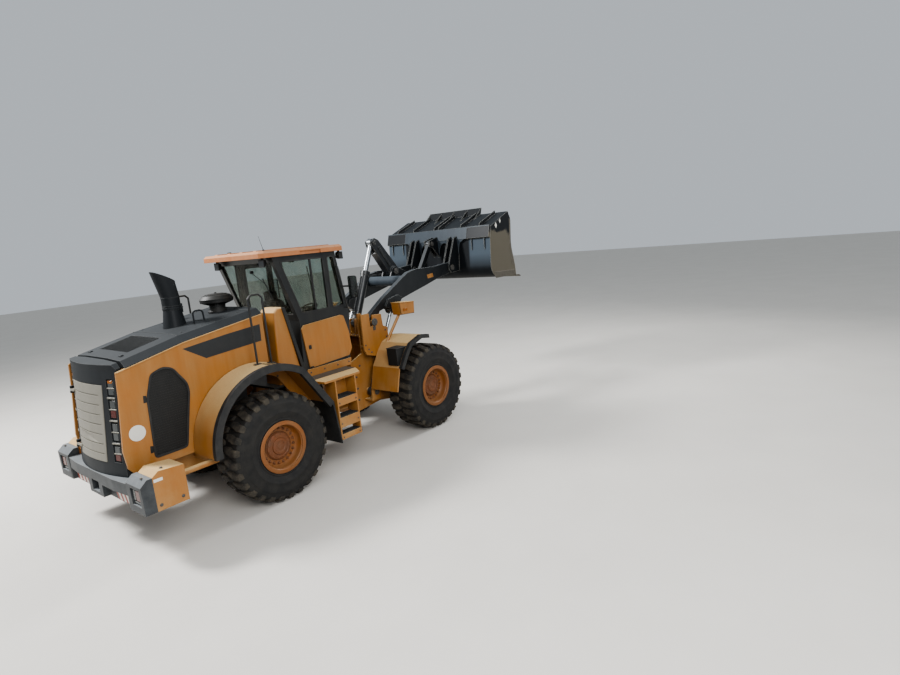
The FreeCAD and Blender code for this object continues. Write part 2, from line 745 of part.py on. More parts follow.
def make_cab_panels():
    """The yellow cover of the cab's lower right side, and the skirts between cab and deck."""
    y = cab_half + fit
    cover = rounded_prism([(-640, 1565), (135, 1600), (205, 1700), (180, 1990), (110, 2240), (60, 2262),
                           (-660, 2222),
                           (-705, 2170)], y, y + 24, 32)
    skirt = side_prism([(-705, deck_low_z + 30 + fit), (150, deck_low_z + 30 + fit), (170, 1552),
                        (-690, 1552)], y, y + 18)
    return Part.makeCompound([mirrored(cover), mirrored(skirt), skirt])


def make_cab_roof():
    points = [vec(roof_back, -roof_half + 60, cab_top_z + fit),
              vec(roof_back + 60, -roof_half, cab_top_z + fit),
              vec(roof_front - 120, -roof_half, cab_top_z + fit),
              vec(roof_front - 40, -roof_half + 130, cab_top_z + fit),
              vec(roof_front - 40, roof_half - 130, cab_top_z + fit),
              vec(roof_front - 120, roof_half, cab_top_z + fit),
              vec(roof_back + 60, roof_half, cab_top_z + fit),
              vec(roof_back, roof_half - 60, cab_top_z + fit)]
    edges = []
    for i, point in enumerate(points):
        after = points[(i + 1) % len(points)]
        if i == 3:
            edges.append(Part.Arc(point, vec(roof_front, 0, cab_top_z + fit), after).toShape())
        else:
            edges.append(Part.LineSegment(point, after).toShape())
    skin_z = roof_top_z - roof_rib
    slab = Part.Face(Part.Wire(edges)).extrude(vec(0, 0, skin_z - cab_top_z - fit))
    top = [e for e in slab.Edges if e.CenterOfMass.z > skin_z - 1]
    slab = slab.makeChamfer(35, top)
    ribs = []
    for y in (-560, -200, 120, 480):
        ribs.append(side_prism([(roof_back + 90, skin_z - 2), (roof_back + 105, roof_top_z),
                                (roof_front - 195, roof_top_z),
                                (roof_front - 170, skin_z - 2)], y, y + 80))
    # a notch in each side's fascia, over the door
    notch = box(-560, -180, roof_half - 22, roof_half + 5, cab_top_z, cab_top_z + 48)
    return joined([slab] + ribs).cut(notch).cut(mirrored(notch))


def glass_panel(profile, y):
    """A pane just inside an opening of (x, z) points, seated with the fit all round."""
    return side_prism(shrunk(profile), y, y + glass_t)


def back_wall_x(z):
    """The cab's outer back face above its waist."""
    share = (z - cab_waist_z) / (cab_top_z - cab_waist_z)
    return cab_back_low + 35 + share * (cab_back_top - cab_back_low - 35)


def front_wall_x(z):
    """The cab's outer front face, above and below its waist."""
    if z > cab_waist_z:
        return cab_front_waist + (z - cab_waist_z) / (cab_top_z - cab_waist_z) * (cab_front_top - cab_front_waist)
    return cab_front_waist + (cab_waist_z - z) / (cab_waist_z - cab_floor_z) * (cab_front_low - cab_front_waist)


def end_pane(wall_x, inset, z0, z1):
    """A pane in the front or back wall between two heights."""
    half = cab_half - cab_wall - 25 - fit
    return side_prism([(wall_x(z0) + inset, z0), (wall_x(z0) + inset + glass_t, z0),
                       (wall_x(z1) + inset + glass_t, z1), (wall_x(z1) + inset, z1)], -half, half)


def make_cab_glass():
    panes = [glass_panel(side_window, -cab_half + 20), glass_panel(side_window_front, -cab_half + 20),
             glass_panel(side_window_front, cab_half - 20 - glass_t),
             glass_panel(quarter_window, cab_half - 20 - glass_t)]
    front = end_pane(front_wall_x, -30, cab_waist_z, window_top_z - fit)
    low = end_pane(front_wall_x, -30, cab_waist_z - 400 + fit, cab_waist_z)
    back = end_pane(back_wall_x, 22, cab_waist_z + 110 + fit, window_top_z - fit)
    return Part.makeCompound(panes + [front.fuse(low).removeSplitter(), back])


def make_cab_door():
    """The door on the left, hinged at its rear edge."""
    gap = running_gap
    leaf = box(-640 + gap, -60 - gap, cab_half - cab_wall, cab_half, 1600 + gap, window_top_z - gap)
    for pane in door_panes:
        leaf = leaf.cut(side_prism(pane, cab_half - cab_wall - 1, cab_half + 1))
    return joined([leaf] + [swung for held, swung in door_hinges()])


def make_door_glass():
    return Part.makeCompound([glass_panel(pane, cab_half - 30) for pane in door_panes])


def make_cab_interior():
    base_z = cab_floor_z + cab_wall + fit
    pedestal = box(-560, -260, -200, 200, base_z, base_z + 330)
    cushion = box(-600, -120, -260, 260, base_z + 330, base_z + 470)
    backrest = side_prism([(-600, base_z + 400), (-480, base_z + 400), (-560, base_z + 1120),
                           (-660, base_z + 1120)],
                          -250, 250)
    console = box(-450, 0, -600, -320, base_z, base_z + 620)
    column = side_prism([(15, base_z), (90, base_z), (30, base_z + 780), (-30, base_z + 760)], -50, 50)
    ring = [(174, 0), (182, -14), (198, -14), (206, 0), (198, 14), (182, 14)]
    wheel = turned_up(ring, 0, 0)
    wheel.rotate(vec(0, 0, 0), vec(0, 1, 0), -24)
    wheel.translate(vec(0, 0, base_z + 800))
    spoke = bar(vec(20, 0, base_z + 730), vec(0, 0, base_z + 805), 30)
    bars = bar(vec(0, -190, base_z + 800), vec(0, 190, base_z + 800), 12)
    return Part.makeCompound([joined([pedestal, cushion, backrest]), console,
                              joined([column, spoke, bars, wheel])])


def make_roof_lamps():
    lamps = []
    for x, y in ((250, 640), (-1110, 600)):
        lamps.append(box(x, x + 70, y - 70, y + 70, cab_top_z - 135, cab_top_z))
    return Part.makeCompound([s for lamp in lamps for s in (lamp, mirrored(lamp))])


def make_steps():
    """Closed stairs under the deck's outer platform, with a lip on each tread."""
    deck_z = deck_low_z + 30
    tread_inner = step_inner_y + 40
    pieces = [plan_prism([(deck_back, step_inner_y + fit), (20, step_inner_y + fit), (-150, step_outer_y),
                          (deck_back, step_outer_y)], deck_low_z, deck_z)]
    for x in (step_back, step_front - 20):
        points = [(tread_inner, deck_low_z + 5), (step_outer_y, deck_low_z + 5), (step_outer_y, 560),
                  (step_outer_y - 60, 500),
                  (step_inner_y + 120, 500), (tread_inner, 900)]
        pieces.append(cross_prism(points, x, x + 20))
    for z, lip, inner_y in ((1130, 110, tread_inner), (840, 150, tread_inner + 20),
                            (590, 80, step_inner_y + 120)):
        pieces.append(box(step_back, step_front, inner_y, step_outer_y, z - 25, z))
        pieces.append(box(step_back, step_front, step_outer_y - 20, step_outer_y, z - lip, z))
    pieces.append(box(step_back, step_front, tread_inner, tread_inner + 20, 900, deck_low_z + 5))
    stairs = joined(pieces)
    return both_sides(stairs)


def make_handrails():
    """A tall loop on each rear fender's crown, its feet cut to the curve."""
    y, low, high, bevel = 1000.0, fender_z + fender_r, 2795.0, 45.0
    back, front = -1640.0, -1430.0
    points = [(back, low), (back, high - bevel), (back + bevel, high), (front - bevel, high),
              (front, high - bevel),
              (front, low - 25)]
    rods = [bar(vec(x0, y, z0), vec(x1, y, z1), 14) for (x0, z0), (x1, z1) in zip(points, points[1:])]
    knobs = [Part.makeSphere(14, vec(x, y, z)) for x, z in points[1:-1]]
    loop = joined(rods + knobs).cut(fender_ring(fender_r - 20, fender_inner_y, fender_outer_y, fit))
    return both_sides(loop)


def make_mirrors():
    plate = box(150, 180, 920, 1120, 2520, 2860)
    arm = bar(vec(165, cab_half + fit, 2700), vec(165, 925, 2700), 14)
    return both_sides(joined([plate, arm]))


# Front half


def make_front_frame():
    pieces = []
    axle_x = wheelbase / 2
    outline = [(440, 500), (1000, 560), (axle_x - 100, 480), (axle_x + 450, 520), (axle_x + 450, 820),
               (axle_x - 100, 1180),
               (1260, 1400), (1230, 1860), (1090, 1900), (1070, tower_top_z), (860, tower_top_z + 15),
               (850, 1930), (795, 1930),
               (790, tower_top_z + 50), (708, tower_top_z + 52), (708, 1480), (430, 1370)]
    side = side_prism(outline, side_plate_y - side_plate, side_plate_y)
    side = side.cut(pin_y(axle_x, tyre_r, side_plate_y - side_plate - 1, side_plate_y + 1,
                          axle_seat_r + fit))
    ear = [(600, 1560), (650, 1470), (940, 1390), (1190, 1650), (1190, 1860), (1090, 1900),
           (1070, tower_top_z),
           (860, tower_top_z + 15), (850, 1930), (795, 1930), (790, tower_top_z + 50),
           (605, tower_top_z + 55)]
    outer = side_prism(ear, tower_outer_y, tower_outer_y + tower_plate)
    shelf = side_prism([(708, 1573), (945, 1600), (945, 1630), (708, 1603)], side_plate_y - 5,
                       tower_outer_y + 5)
    pin = pin_y(arm_x, arm_z, side_plate_y - side_plate - 20, tower_outer_y + tower_plate + 20, arm_pin_r)
    lift_lug = side_prism([(lift_x - 110, lift_z - 120), (lift_x + 110, lift_z - 120),
                           (lift_x + 90, lift_z + 90),
                           (lift_x - 90, lift_z + 90)], tower_outer_y, tower_outer_y + 25)
    lug_floor = box(lift_x - 110, lift_x + 110, side_plate_y - 5, tower_outer_y + 25, lift_z - 140,
                    lift_z - 115)
    lift_pin = pin_y(lift_x, lift_z, side_plate_y - 5, tower_outer_y + 40, 35)
    half = arm_width / 2
    washers = [pin_y(lift_x, lift_z, side_plate_y - 5, arm_y - half, 60),
               pin_y(lift_x, lift_z, arm_y + half, tower_outer_y + 5, 60)]
    for piece in [side, outer, shelf, pin, lift_lug, lug_floor, lift_pin] + washers:
        pieces += [piece, mirrored(piece)]
    inner = side_plate_y - side_plate
    for x0, x1, z0, z1 in ((440, 470, 500, 1370), (1230, 1260, 900, 1480),
                           (axle_x + 280, axle_x + 305, 520, 860), (900, 930, 560, 900),
                           (1160, 1190, 1500, 1830)):
        pieces.append(box(x0, x1, -inner - 5, inner + 5, z0, z1))
    wing = [(460, -300), (150, -hitch_r), (0, -hitch_r), (0, hitch_r), (150, hitch_r), (460, 300)]
    for z in (hitch_low_z, hitch_high_z):
        lug = plan_prism(wing, z - hitch_lug / 2, z + hitch_lug / 2)
        lug = lug.fuse(pin_z(0, 0, z - hitch_lug / 2, z + hitch_lug / 2, hitch_r))
        pieces.append(lug)
    for side_sign in (-1, 1):
        y = side_sign * steer_eye_y
        for low in (steer_z - 66, steer_z + 41):
            pieces.append(box(steer_eye_x, 450, y - 50, y + 50, low, low + 25))
            pieces.append(pin_z(steer_eye_x, y, low, low + 25, 50))
    tilt_ears = [(tilt_x - 90, tilt_z - 200), (tilt_x + 140, tilt_z - 200), (tilt_x + 80, tilt_z + 80),
                 (tilt_x - 80, tilt_z + 80)]
    for y in (-80, 50):
        pieces.append(side_prism(tilt_ears, y, y + 30))
    pieces.append(box(tilt_x - 90, tilt_x + 170, -inner, inner, tilt_z - 230, tilt_z - 195))
    pieces.append(pin_y(tilt_x, tilt_z, -95, 95, 40))
    frame = joined(pieces)
    frame = frame.cut(bar(vec(300, 0, 780), vec(1300, 0, 780), shaft_r + 40))
    for z in (hitch_low_z, hitch_high_z):
        frame = frame.cut(pin_z(0, 0, z - 100, z + 100, hitch_pin_r + fit))
    return frame


def make_front_axle():
    shaft = bar(vec(60, 0, 790), vec(wheelbase / 2 - 200, 0, 760), shaft_r)
    return joined([make_axle(wheelbase / 2), shaft])


fender_line_x = wheelbase / 2
front_fender_line = [(fender_line_x - 955, 880), (fender_line_x - 855, 1260), (fender_line_x - 694, 1505),
                     (fender_line_x - 582, 1630), (fender_line_x - 315, 1719), (fender_line_x - 110, 1690)]


def front_fender_band(y0, y1, line, proud, depth):
    """A bent plate under the line, from its proud outside to its depth inside."""
    centre = vec(wheelbase / 2, 0, tyre_r)
    outside, inside = [], []
    for x, z in line:
        inward = (centre - vec(x, 0, z)).normalize()
        outside.append((x - inward.x * proud, z - inward.z * proud))
        inside.append((x + inward.x * depth, z + inward.z * depth))
    return side_prism(outside + inside[::-1], y0, y1)


def make_front_fenders():
    """Each fender is one bent plate: a sloped guard behind the tyre and a roof over it."""
    x = wheelbase / 2
    band = front_fender_band(620, fender_outer_y, front_fender_line, 0, fender_t)
    arm = box(x - 40, x + 40, side_plate_y + fit, 720, 1000, 1060)
    web = box(x - 40, x + 40, 700, 725, 1000, 1500)
    roof_stay = side_prism([(x - 40, 1499), (x + 40, 1499), (x - 240, 1705), (x - 320, 1708)], 700, 725)
    return both_sides(joined([band, arm, web, roof_stay]))


def make_front_fender_edges():
    """The rubber lip round each fender's outer side."""
    lip = front_fender_band(fender_outer_y + fit, fender_edge_y, front_fender_line[1:], 8, 62)
    return both_sides(lip)


def make_head_lamps():
    fender = front_fender_band(500, fender_outer_y, front_fender_line, fit, 400)
    post = bar(vec(1010, 700, 1560), vec(1365, 790, 2120), 26).cut(fender)
    house = side_prism([(1255, 2275), (1632, 2245), (1618, 2042), (1286, 2057)], 700, 900)
    rod = bar(vec(1120, 840, 1560), vec(1480, 840, 2100), 14).cut(fender)
    return both_sides(joined([post, house, rod]))


# Loader


def arm_outline():
    return [(arm_x - 60, arm_z - 90), (arm_x + 110, arm_z - 70), (arm_x + 240, arm_z + 150),
            (lift_eye_x + 54, lift_eye_z + 105), (bell_x - 170, bell_z - 434), (bell_x + 386, bell_z - 309),
            (bucket_x - 412, bucket_z - 164), (bucket_x - 110, bucket_z - 110),
            (bucket_x + 50, bucket_z - 100),
            (bucket_x + 100, bucket_z - 10), (bucket_x + 50, bucket_z + 100),
            (bucket_x - 110, bucket_z + 100),
            (bucket_x - 467, bucket_z + 68), (bell_x + 110, bell_z + 15), (bell_x - 100, bell_z - 20),
            (bell_x - 279, bell_z - 108), (lift_eye_x - 206, lift_eye_z + 232), (arm_x - 70, arm_z + 80)]


def make_lift_arms():
    half = arm_width / 2
    inner, outer = arm_y - half, arm_y + half
    slab = side_prism(arm_outline(), inner, outer)
    cheek = [(lift_eye_x - 190, lift_eye_z + 85), (lift_eye_x - 74, lift_eye_z),
             (lift_eye_x + 74, lift_eye_z),
             (lift_eye_x + 240, lift_eye_z + 180), (lift_eye_x + 130, lift_eye_z + 245),
             (lift_eye_x - 120, lift_eye_z + 195)]
    y0, y1 = arm_y - lift_cheek_half, arm_y + lift_cheek_half
    block = side_prism(cheek, y0, y1).fuse(pin_y(lift_eye_x, lift_eye_z, y0, y1, 74))
    pocket = side_prism([(lift_eye_x - 110, lift_eye_z - 100), (lift_eye_x + 190, lift_eye_z - 100),
                         (lift_eye_x + 200, lift_eye_z + 185), (lift_eye_x - 60, lift_eye_z + 170)],
                         y0 + 15, y1 - 15)
    pieces = [slab.fuse(block).cut(pocket)]
    pieces.append(pin_y(arm_x, arm_z, side_plate_y + running_gap, tower_outer_y - running_gap, boss_r))
    pieces.append(pin_y(bucket_x, bucket_z, inner, outer, boss_r))
    arm = joined(pieces)
    for x, z in ((arm_x, arm_z), (bucket_x, bucket_z)):
        arm = arm.cut(pin_y(x, z, inner - 100, outer + 100, arm_pin_r + fit))
    tube = pin_y(bell_x - 115, bell_z - 170, -inner - 5, inner + 5, 90)
    ears = []
    for y in (-125.0, 95.0):
        ears.append(side_prism([(bell_x - 195, bell_z - 190), (bell_x - 60, bell_z - 235),
                                (bell_x + 95, bell_z - 30),
                                (bell_x + 95, bell_z + 30), (bell_x + 20, bell_z + 95),
                                (bell_x - 70, bell_z + 60)],
                               y, y + 30))
    ears.append(pin_y(bell_x, bell_z, -140, 140, 42))
    return joined([tube] + ears + [arm, mirrored(arm)])


def make_bell_crank():
    half = 45.0
    plate = side_prism([(bell_top_x - 75, bell_top_z + 20), (bell_top_x + 20, bell_top_z + 80),
                        (bell_top_x + 110, bell_top_z + 40), (bell_x + 130, bell_z + 60),
                        (bell_x + 300, bell_z - 10),
                        (bell_low_x + 60, bell_low_z + 60), (bell_low_x + 20, bell_low_z - 75),
                        (bell_low_x - 60, bell_low_z - 60), (bell_x + 100, bell_z - 130),
                        (bell_x - 50, bell_z - 85),
                        (bell_x - 130, bell_z + 10), (bell_top_x - 60, bell_top_z - 60)], -half - 35,
                        half + 35)
    slot_top = side_prism([(bell_top_x - 300, bell_top_z - 300), (bell_top_x + 35, bell_top_z - 230),
                           (bell_top_x + 80, bell_top_z - 140), (bell_top_x + 145, bell_top_z - 80),
                           (bell_top_x + 160, bell_top_z + 200), (bell_top_x - 300, bell_top_z + 200)],
                          -half - 8, half + 8)
    slot_low = side_prism([(bell_low_x - 120, bell_low_z - 200), (bell_low_x + 300, bell_low_z - 200),
                           (bell_low_x + 300, bell_low_z + 260), (bell_low_x - 112, bell_low_z + 260),
                           (bell_low_x - 96, bell_low_z + 130)], -half, half)
    crank = plate.cut(slot_top).cut(slot_low)
    crank = crank.fuse(pin_y(bell_x, bell_z, -90, 90, 100))
    crank = crank.fuse(pin_y(bell_low_x, bell_low_z, -half - 45, half + 45, 38))
    return crank.cut(pin_y(bell_x, bell_z, -200, 200, 42 + fit)).removeSplitter()


def make_tilt_link():
    width = 40.0
    shaft = side_prism([(bell_low_x - 40, bell_low_z + 28), (bell_low_x + 40, bell_low_z - 28),
                        (link_x + 40, link_z - 28), (link_x - 40, link_z + 28)], -width, width)
    link = joined([shaft, pin_y(bell_low_x, bell_low_z, -width, width, 72),
                   pin_y(link_x, link_z, -width, width, 68)])
    return link.cut(pin_y(bell_low_x, bell_low_z, -100, 100, 38 + fit))


def make_cylinder(start, end, across, barrel_r, rod_r, lengths, eye_radii, eye_half, pin_r, shoulder):
    """A barrel on its base pin at start, and a rod with a closed eye at end; across is the pins' direction."""
    along = (end - start).normalize()
    barrel_length, rod_length = lengths
    base_eye, rod_eye = eye_radii
    side = across * eye_half
    bore = across * (eye_half + 50)
    neck = bar(start, start + along * (shoulder + 10), eye_half - 3)
    tube = bar(start + along * shoulder, start + along * barrel_length, barrel_r)
    gland = bar(start + along * (barrel_length - 70), start + along * barrel_length, barrel_r + 8)
    barrel = joined([neck, tube, gland, bar(start - side, start + side, base_eye)])
    barrel = barrel.cut(bar(start + along * (shoulder + 30), start + along * (barrel_length + 10),
                            rod_r + fit))
    barrel = barrel.cut(bar(start - bore, start + bore, pin_r + fit))
    rod = bar(end - along * rod_length, end - along * (rod_eye - 8), rod_r)
    rod = rod.fuse(bar(end - side, end + side, rod_eye))
    return barrel, rod.removeSplitter()


def make_tilt_cylinder():
    return make_cylinder(vec(tilt_x, 0, tilt_z), vec(bell_top_x, 0, bell_top_z), vec(0, 1, 0),
                         tilt_barrel_r,
                         tilt_rod_r, (tilt_barrel_length, tilt_rod_length), (78.0, 72.0), 45.0, 40.0, 135.0)


def make_lift_cylinder():
    return make_cylinder(vec(lift_x, arm_y, lift_z), vec(lift_eye_x, arm_y, lift_eye_z), vec(0, 1, 0),
                         lift_barrel_r,
                         lift_rod_r, (lift_barrel_length, lift_rod_length), (75.0, 62.0),
                         arm_width / 2 - running_gap, 35.0, 95.0)


def make_steering_cylinder(side):
    base = vec(steer_base_x, side * steer_base_y, steer_z)
    eye = vec(steer_eye_x, side * steer_eye_y, steer_z)
    return make_cylinder(base, eye, vec(0, 0, 1), steer_barrel_r, steer_rod_r,
                         (steer_barrel_length, steer_rod_length), (48.0, 44.0), 36.0, 22.0, 75.0)


def make_bucket():
    t = bucket_plate
    floor = (bucket_lip_x - 200, bucket_lip_z + 15)
    start = (bucket_heel_x + 180, bucket_heel_z)
    heel = (bucket_heel_x + 12, bucket_heel_z + 66)
    rise = (bucket_heel_x - 60, bucket_heel_z + 240)
    bend = (bucket_top_x - 60, bucket_top_z - 230)
    top = (bucket_top_x, bucket_top_z)
    brow = (bucket_brow_x, bucket_brow_z)
    # floor, curved back and top as one bent plate, its two faces a plate's thickness apart
    outside = [vec(x, 0, z) for x, z in (floor, start, heel, rise, bend, top, brow)]
    inside = [vec(x, 0, z) for x, z in ((brow[0] + 8, brow[1] - t), (top[0] + 20, top[1] - t - 4),
                                        (bend[0] + t + 2, bend[1] - 10), (rise[0] + t, rise[1] + 8),
                                        (heel[0] + 20, heel[1] + 20), (start[0] + 6, start[1] + t),
                                        (floor[0], floor[1] + t))]
    edges = [Part.LineSegment(outside[0], outside[1]).toShape(), Part.Arc(*outside[1:4]).toShape()]
    edges += [Part.LineSegment(a, b).toShape() for a, b in zip(outside[3:], outside[4:] + inside[:1])]
    edges += [Part.LineSegment(a, b).toShape() for a, b in zip(inside[:3], inside[1:4])]
    edges.append(Part.Arc(*inside[3:6]).toShape())
    edges += [Part.LineSegment(a, b).toShape() for a, b in zip(inside[5:], inside[6:] + outside[:1])]
    shell = Part.Face(Part.Wire(edges)).extrude(vec(0, 2 * bucket_half, 0))
    shell.translate(vec(0, -bucket_half, 0))
    pieces = [shell]
    over_edge = bucket_lip_z + 46
    side = side_prism([floor, start, heel, rise, bend, top, brow, (bucket_lip_x - 235, bucket_brow_z - 140),
                       (bucket_lip_x - 290, bucket_lip_z + 734), (bucket_lip_x - 180, bucket_lip_z + 254),
                       (bucket_lip_x - 158, over_edge), (floor[0], over_edge)], bucket_half - 30,
                       bucket_half)
    pieces += [side, mirrored(side)]
    guard = side_prism([(brow[0] - 30, brow[1] - 20), (brow[0] + 10, brow[1] - 10), (brow[0] + 60, 3830),
                        (brow[0] + 35, 3835)], -700, 700)
    pieces.append(guard)
    for y in (-700, -350, 0, 350, 680):
        pieces.append(side_prism([(brow[0] - 260, brow[1] - 112), (brow[0], brow[1] - 10),
                                  (brow[0] + 45, 3830)],
                                 y, y + 20))
    # the square beam across the back and its ribs
    beam = side_prism([(3415, 3235), (3480, 3215), (3540, 3440), (3480, 3460)], -bucket_half + 5,
                      bucket_half - 5)
    pieces.append(beam)
    for y in (-1100, -640, -60, 60, 640, 1100):
        pieces.append(side_prism([(3490, 3440), (brow[0] - 60, brow[1] - 35), (brow[0] - 60, brow[1] + 40),
                                  (3540, 3520)], y - 10, y + 10))
    # hinge ears, two on each side, and the pair for the link
    ear = [(3440, 2679), (3482, 3205), (3470, 3300), (3430, 3300), (3330, 3260),
           (bucket_x - 95, bucket_z + 40),
           (bucket_x - 100, bucket_z - 40), (bucket_x - 20, bucket_z - 105), (3452, 2620)]
    for y in (arm_y - arm_width / 2 - 35 - running_gap, arm_y + arm_width / 2 + running_gap):
        plate = side_prism(ear, y, y + 35)
        pieces += [plate, mirrored(plate)]
    pin = pin_y(bucket_x, bucket_z, arm_y - 95, arm_y + 95, arm_pin_r)
    pieces += [pin, mirrored(pin)]
    for y in (-75.0, 45.0):
        pieces.append(side_prism([(3457, 2900), (3482, 3205), (3470, 3300), (3440, 3320),
                                  (link_x - 70, link_z + 70),
                                  (link_x - 80, link_z - 50), (link_x + 20, link_z - 80)], y, y + 30))
    return joined(pieces)


def make_cutting_edge():
    points = [(bucket_lip_x - 200 + fit, bucket_lip_z + 15), (bucket_lip_x, bucket_lip_z - 6),
              (bucket_lip_x, bucket_lip_z + 4),
              (bucket_lip_x - 60, bucket_lip_z + 40), (bucket_lip_x - 200 + fit, bucket_lip_z + 45)]
    return side_prism(points, -bucket_half - 10, bucket_half + 10)


def make_parts():
    parts = {
        "rear_frame": make_rear_frame(),
        "rear_axle": make_rear_axle(),
        "engine": make_engine(),
        "radiator": make_radiator(),
        "transmission": make_transmission(),
        "hydraulic_tank": make_hydraulic_tank(),
        "counterweight": make_counterweight(),
        "corner_weights": make_corner_weights(),
        "hood": make_hood(),
        "hood_cover": make_hood_cover(),
        "hood_mesh": make_hood_mesh(),
        "exhaust_stack": make_exhaust(),
        "pre_cleaner": make_precleaner(),
        "grille_frame": make_grille_frame(),
        "grille_door": make_grille_door(),
        "rear_fenders": make_rear_fenders(),
        "rear_fender_edges": make_rear_fender_edges(),
        "mud_flaps": make_mud_flaps(),
        "cab_frame": make_cab_frame(),
        "cab_panels": make_cab_panels(),
        "cab_roof": make_cab_roof(),
        "cab_glass": make_cab_glass(),
        "cab_door": make_cab_door(),
        "door_glass": make_door_glass(),
        "cab_interior": make_cab_interior(),
        "roof_lamps": make_roof_lamps(),
        "access_steps": make_steps(),
        "hand_rails": make_handrails(),
        "mirrors": make_mirrors(),
        "front_frame": make_front_frame(),
        "front_axle": make_front_axle(),
        "front_fenders": make_front_fenders(),
        "front_fender_edges": make_front_fender_edges(),
        "head_lamps": make_head_lamps(),
        "lift_arms": make_lift_arms(),
        "bell_crank": make_bell_crank(),
        "tilt_link": make_tilt_link(),
        "bucket": make_bucket(),
        "cutting_edge": make_cutting_edge(),
    }
    parts["tilt_barrel"], parts["tilt_rod"] = make_tilt_cylinder()
    left_barrel, left_rod = make_lift_cylinder()
    parts["lift_barrels"] = both_sides(left_barrel)
    parts["lift_rods"] = both_sides(left_rod)
    for name, side in (("left", 1), ("right", -1)):
        parts["steer_barrel_" + name], parts["steer_rod_" + name] = make_steering_cylinder(side)
    for end, x in (("front", wheelbase / 2), ("rear", -wheelbase / 2)):
        for name, side in (("left", 1), ("right", -1)):
            parts["tyre_" + end + "_" + name] = make_tyre(x, side)
            parts["rim_" + end + "_" + name] = make_rim(x, side)
    return parts


# The row's origin is under the middle of the whole machine, from its back to the bucket's edge.
middle_x = (weight_back + bucket_lip_x) / 2

os.makedirs("parts", exist_ok=True)
for node, shape in make_parts().items():
    shape.translate(vec(-middle_x, 0, 0))
    shape.exportStep("parts/" + node + ".step")
    print(node, len(shape.Solids), shape.isValid(), round(shape.Volume / 1e9, 4))
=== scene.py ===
import bpy
import bmesh
import math
from mathutils import Matrix, Vector


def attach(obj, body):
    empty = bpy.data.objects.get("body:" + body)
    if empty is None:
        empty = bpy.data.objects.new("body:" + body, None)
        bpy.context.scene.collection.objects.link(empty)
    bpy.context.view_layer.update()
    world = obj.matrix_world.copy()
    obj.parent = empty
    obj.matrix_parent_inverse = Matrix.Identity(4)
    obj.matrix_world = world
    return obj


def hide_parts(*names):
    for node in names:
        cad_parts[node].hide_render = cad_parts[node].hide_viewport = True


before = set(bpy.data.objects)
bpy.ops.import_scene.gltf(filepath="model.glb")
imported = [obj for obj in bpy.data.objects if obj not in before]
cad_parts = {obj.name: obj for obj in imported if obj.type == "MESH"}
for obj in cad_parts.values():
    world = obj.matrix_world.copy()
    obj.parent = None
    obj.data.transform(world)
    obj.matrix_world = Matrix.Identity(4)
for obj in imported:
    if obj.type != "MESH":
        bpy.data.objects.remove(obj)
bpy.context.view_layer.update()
print("frame loaded")

# Drawing sizes are millimetres from the steering pivot on the ground: x forward, y left, z up.
middleX = 500.0


def at(x, y, z):
    return Vector(((x - middleX) / 1000, y / 1000, z / 1000))


# camera: where the photographer stood, behind the right rear corner
photoView = {"place": (-5731.7, -7720.9, 3303.0), "yaw": 50.49, "pitch": -10.01, "roll": -5.49, "lens": 22.744}


def makeCamera(view):
    yaw, pitch, roll = (math.radians(view[k]) for k in ("yaw", "pitch", "roll"))
    ahead = Vector((math.sin(yaw) * math.cos(pitch), math.cos(yaw) * math.cos(pitch), math.sin(pitch)))
    right = Vector((math.cos(yaw), -math.sin(yaw), 0))
    up = right.cross(ahead)
    tiltedRight = math.cos(roll) * right + math.sin(roll) * up
    tiltedUp = math.cos(roll) * up - math.sin(roll) * right
    camera = bpy.data.objects.new("photoCamera", bpy.data.cameras.new("photoCamera"))
    turn = Matrix((tiltedRight, tiltedUp, -ahead)).transposed().to_4x4()
    camera.matrix_world = Matrix.Translation(at(*view["place"])) @ turn
    camera.data.lens = view["lens"]
    camera.data.sensor_width = 36
    camera.data.clip_end = 200
    bpy.context.collection.objects.link(camera)
    bpy.context.scene.camera = camera


makeCamera(photoView)


def toLinear(hexColour):
    values = [int(hexColour[i:i + 2], 16) / 255 for i in (0, 2, 4)]
    return [v / 12.92 if v <= 0.04045 else ((v + 0.055) / 1.055) ** 2.4 for v in values] + [1.0]


def addNode(tree, kind, settings=None, links=None):
    # settings are attributes or input values (a hex string for a colour), links are input to node or (node, output)
    node = tree.nodes.new("ShaderNode" + kind)
    for key, value in (settings or {}).items():
        if isinstance(key, str) and hasattr(node, key):
            setattr(node, key, value)
        else:
            node.inputs[key].default_value = toLinear(value) if isinstance(value, str) else value
    for key, source in (links or {}).items():
        source, output = source if isinstance(source, tuple) else (source, 0)
        tree.links.new(source.outputs[output], node.inputs[key])
    return node


def newFinish(name):
    # gives the material, what adds a node to it, and its coordinates
    finish = bpy.data.materials.new(name)
    finish.use_nodes = True
    finish.node_tree.nodes.clear()

    def add(kind, settings=None, links=None):
        return addNode(finish.node_tree, kind, settings, links)

    return finish, add, add("TexCoord")


rgba = {"data_type": "RGBA"}  # a Mix of colours takes them at inputs 6 and 7 and gives one at output 2
product = {"operation": "MULTIPLY"}
product01 = {"operation": "MULTIPLY", "use_clamp": True}


def allOf(add, ramps, share=None):
    # how far all ramps hold at once: each is a source with the values where it starts and where it is full
    for source, start, full in ramps:
        step = add("MapRange", {"From Min": start, "From Max": full}, {"Value": source})
        share = add("Math", product, {0: share, 1: step}) if share else step
    return share


# the bucket's own wear, and the painted sheen and shade on its back shell, metres from the middle and above the ground
bucketWearAndSheen = {"shellSheen": "434D56", "shellFoot": 2.62, "shellTop": 3.21, "archShadowHalf": 0.84, "sideTint": "5B564B",
              "sideIn": 1.30, "sideTop": 3.31, "bowlTint": "6A665F", "bowlFloor": 2.8, "bowlTop": 3.3}


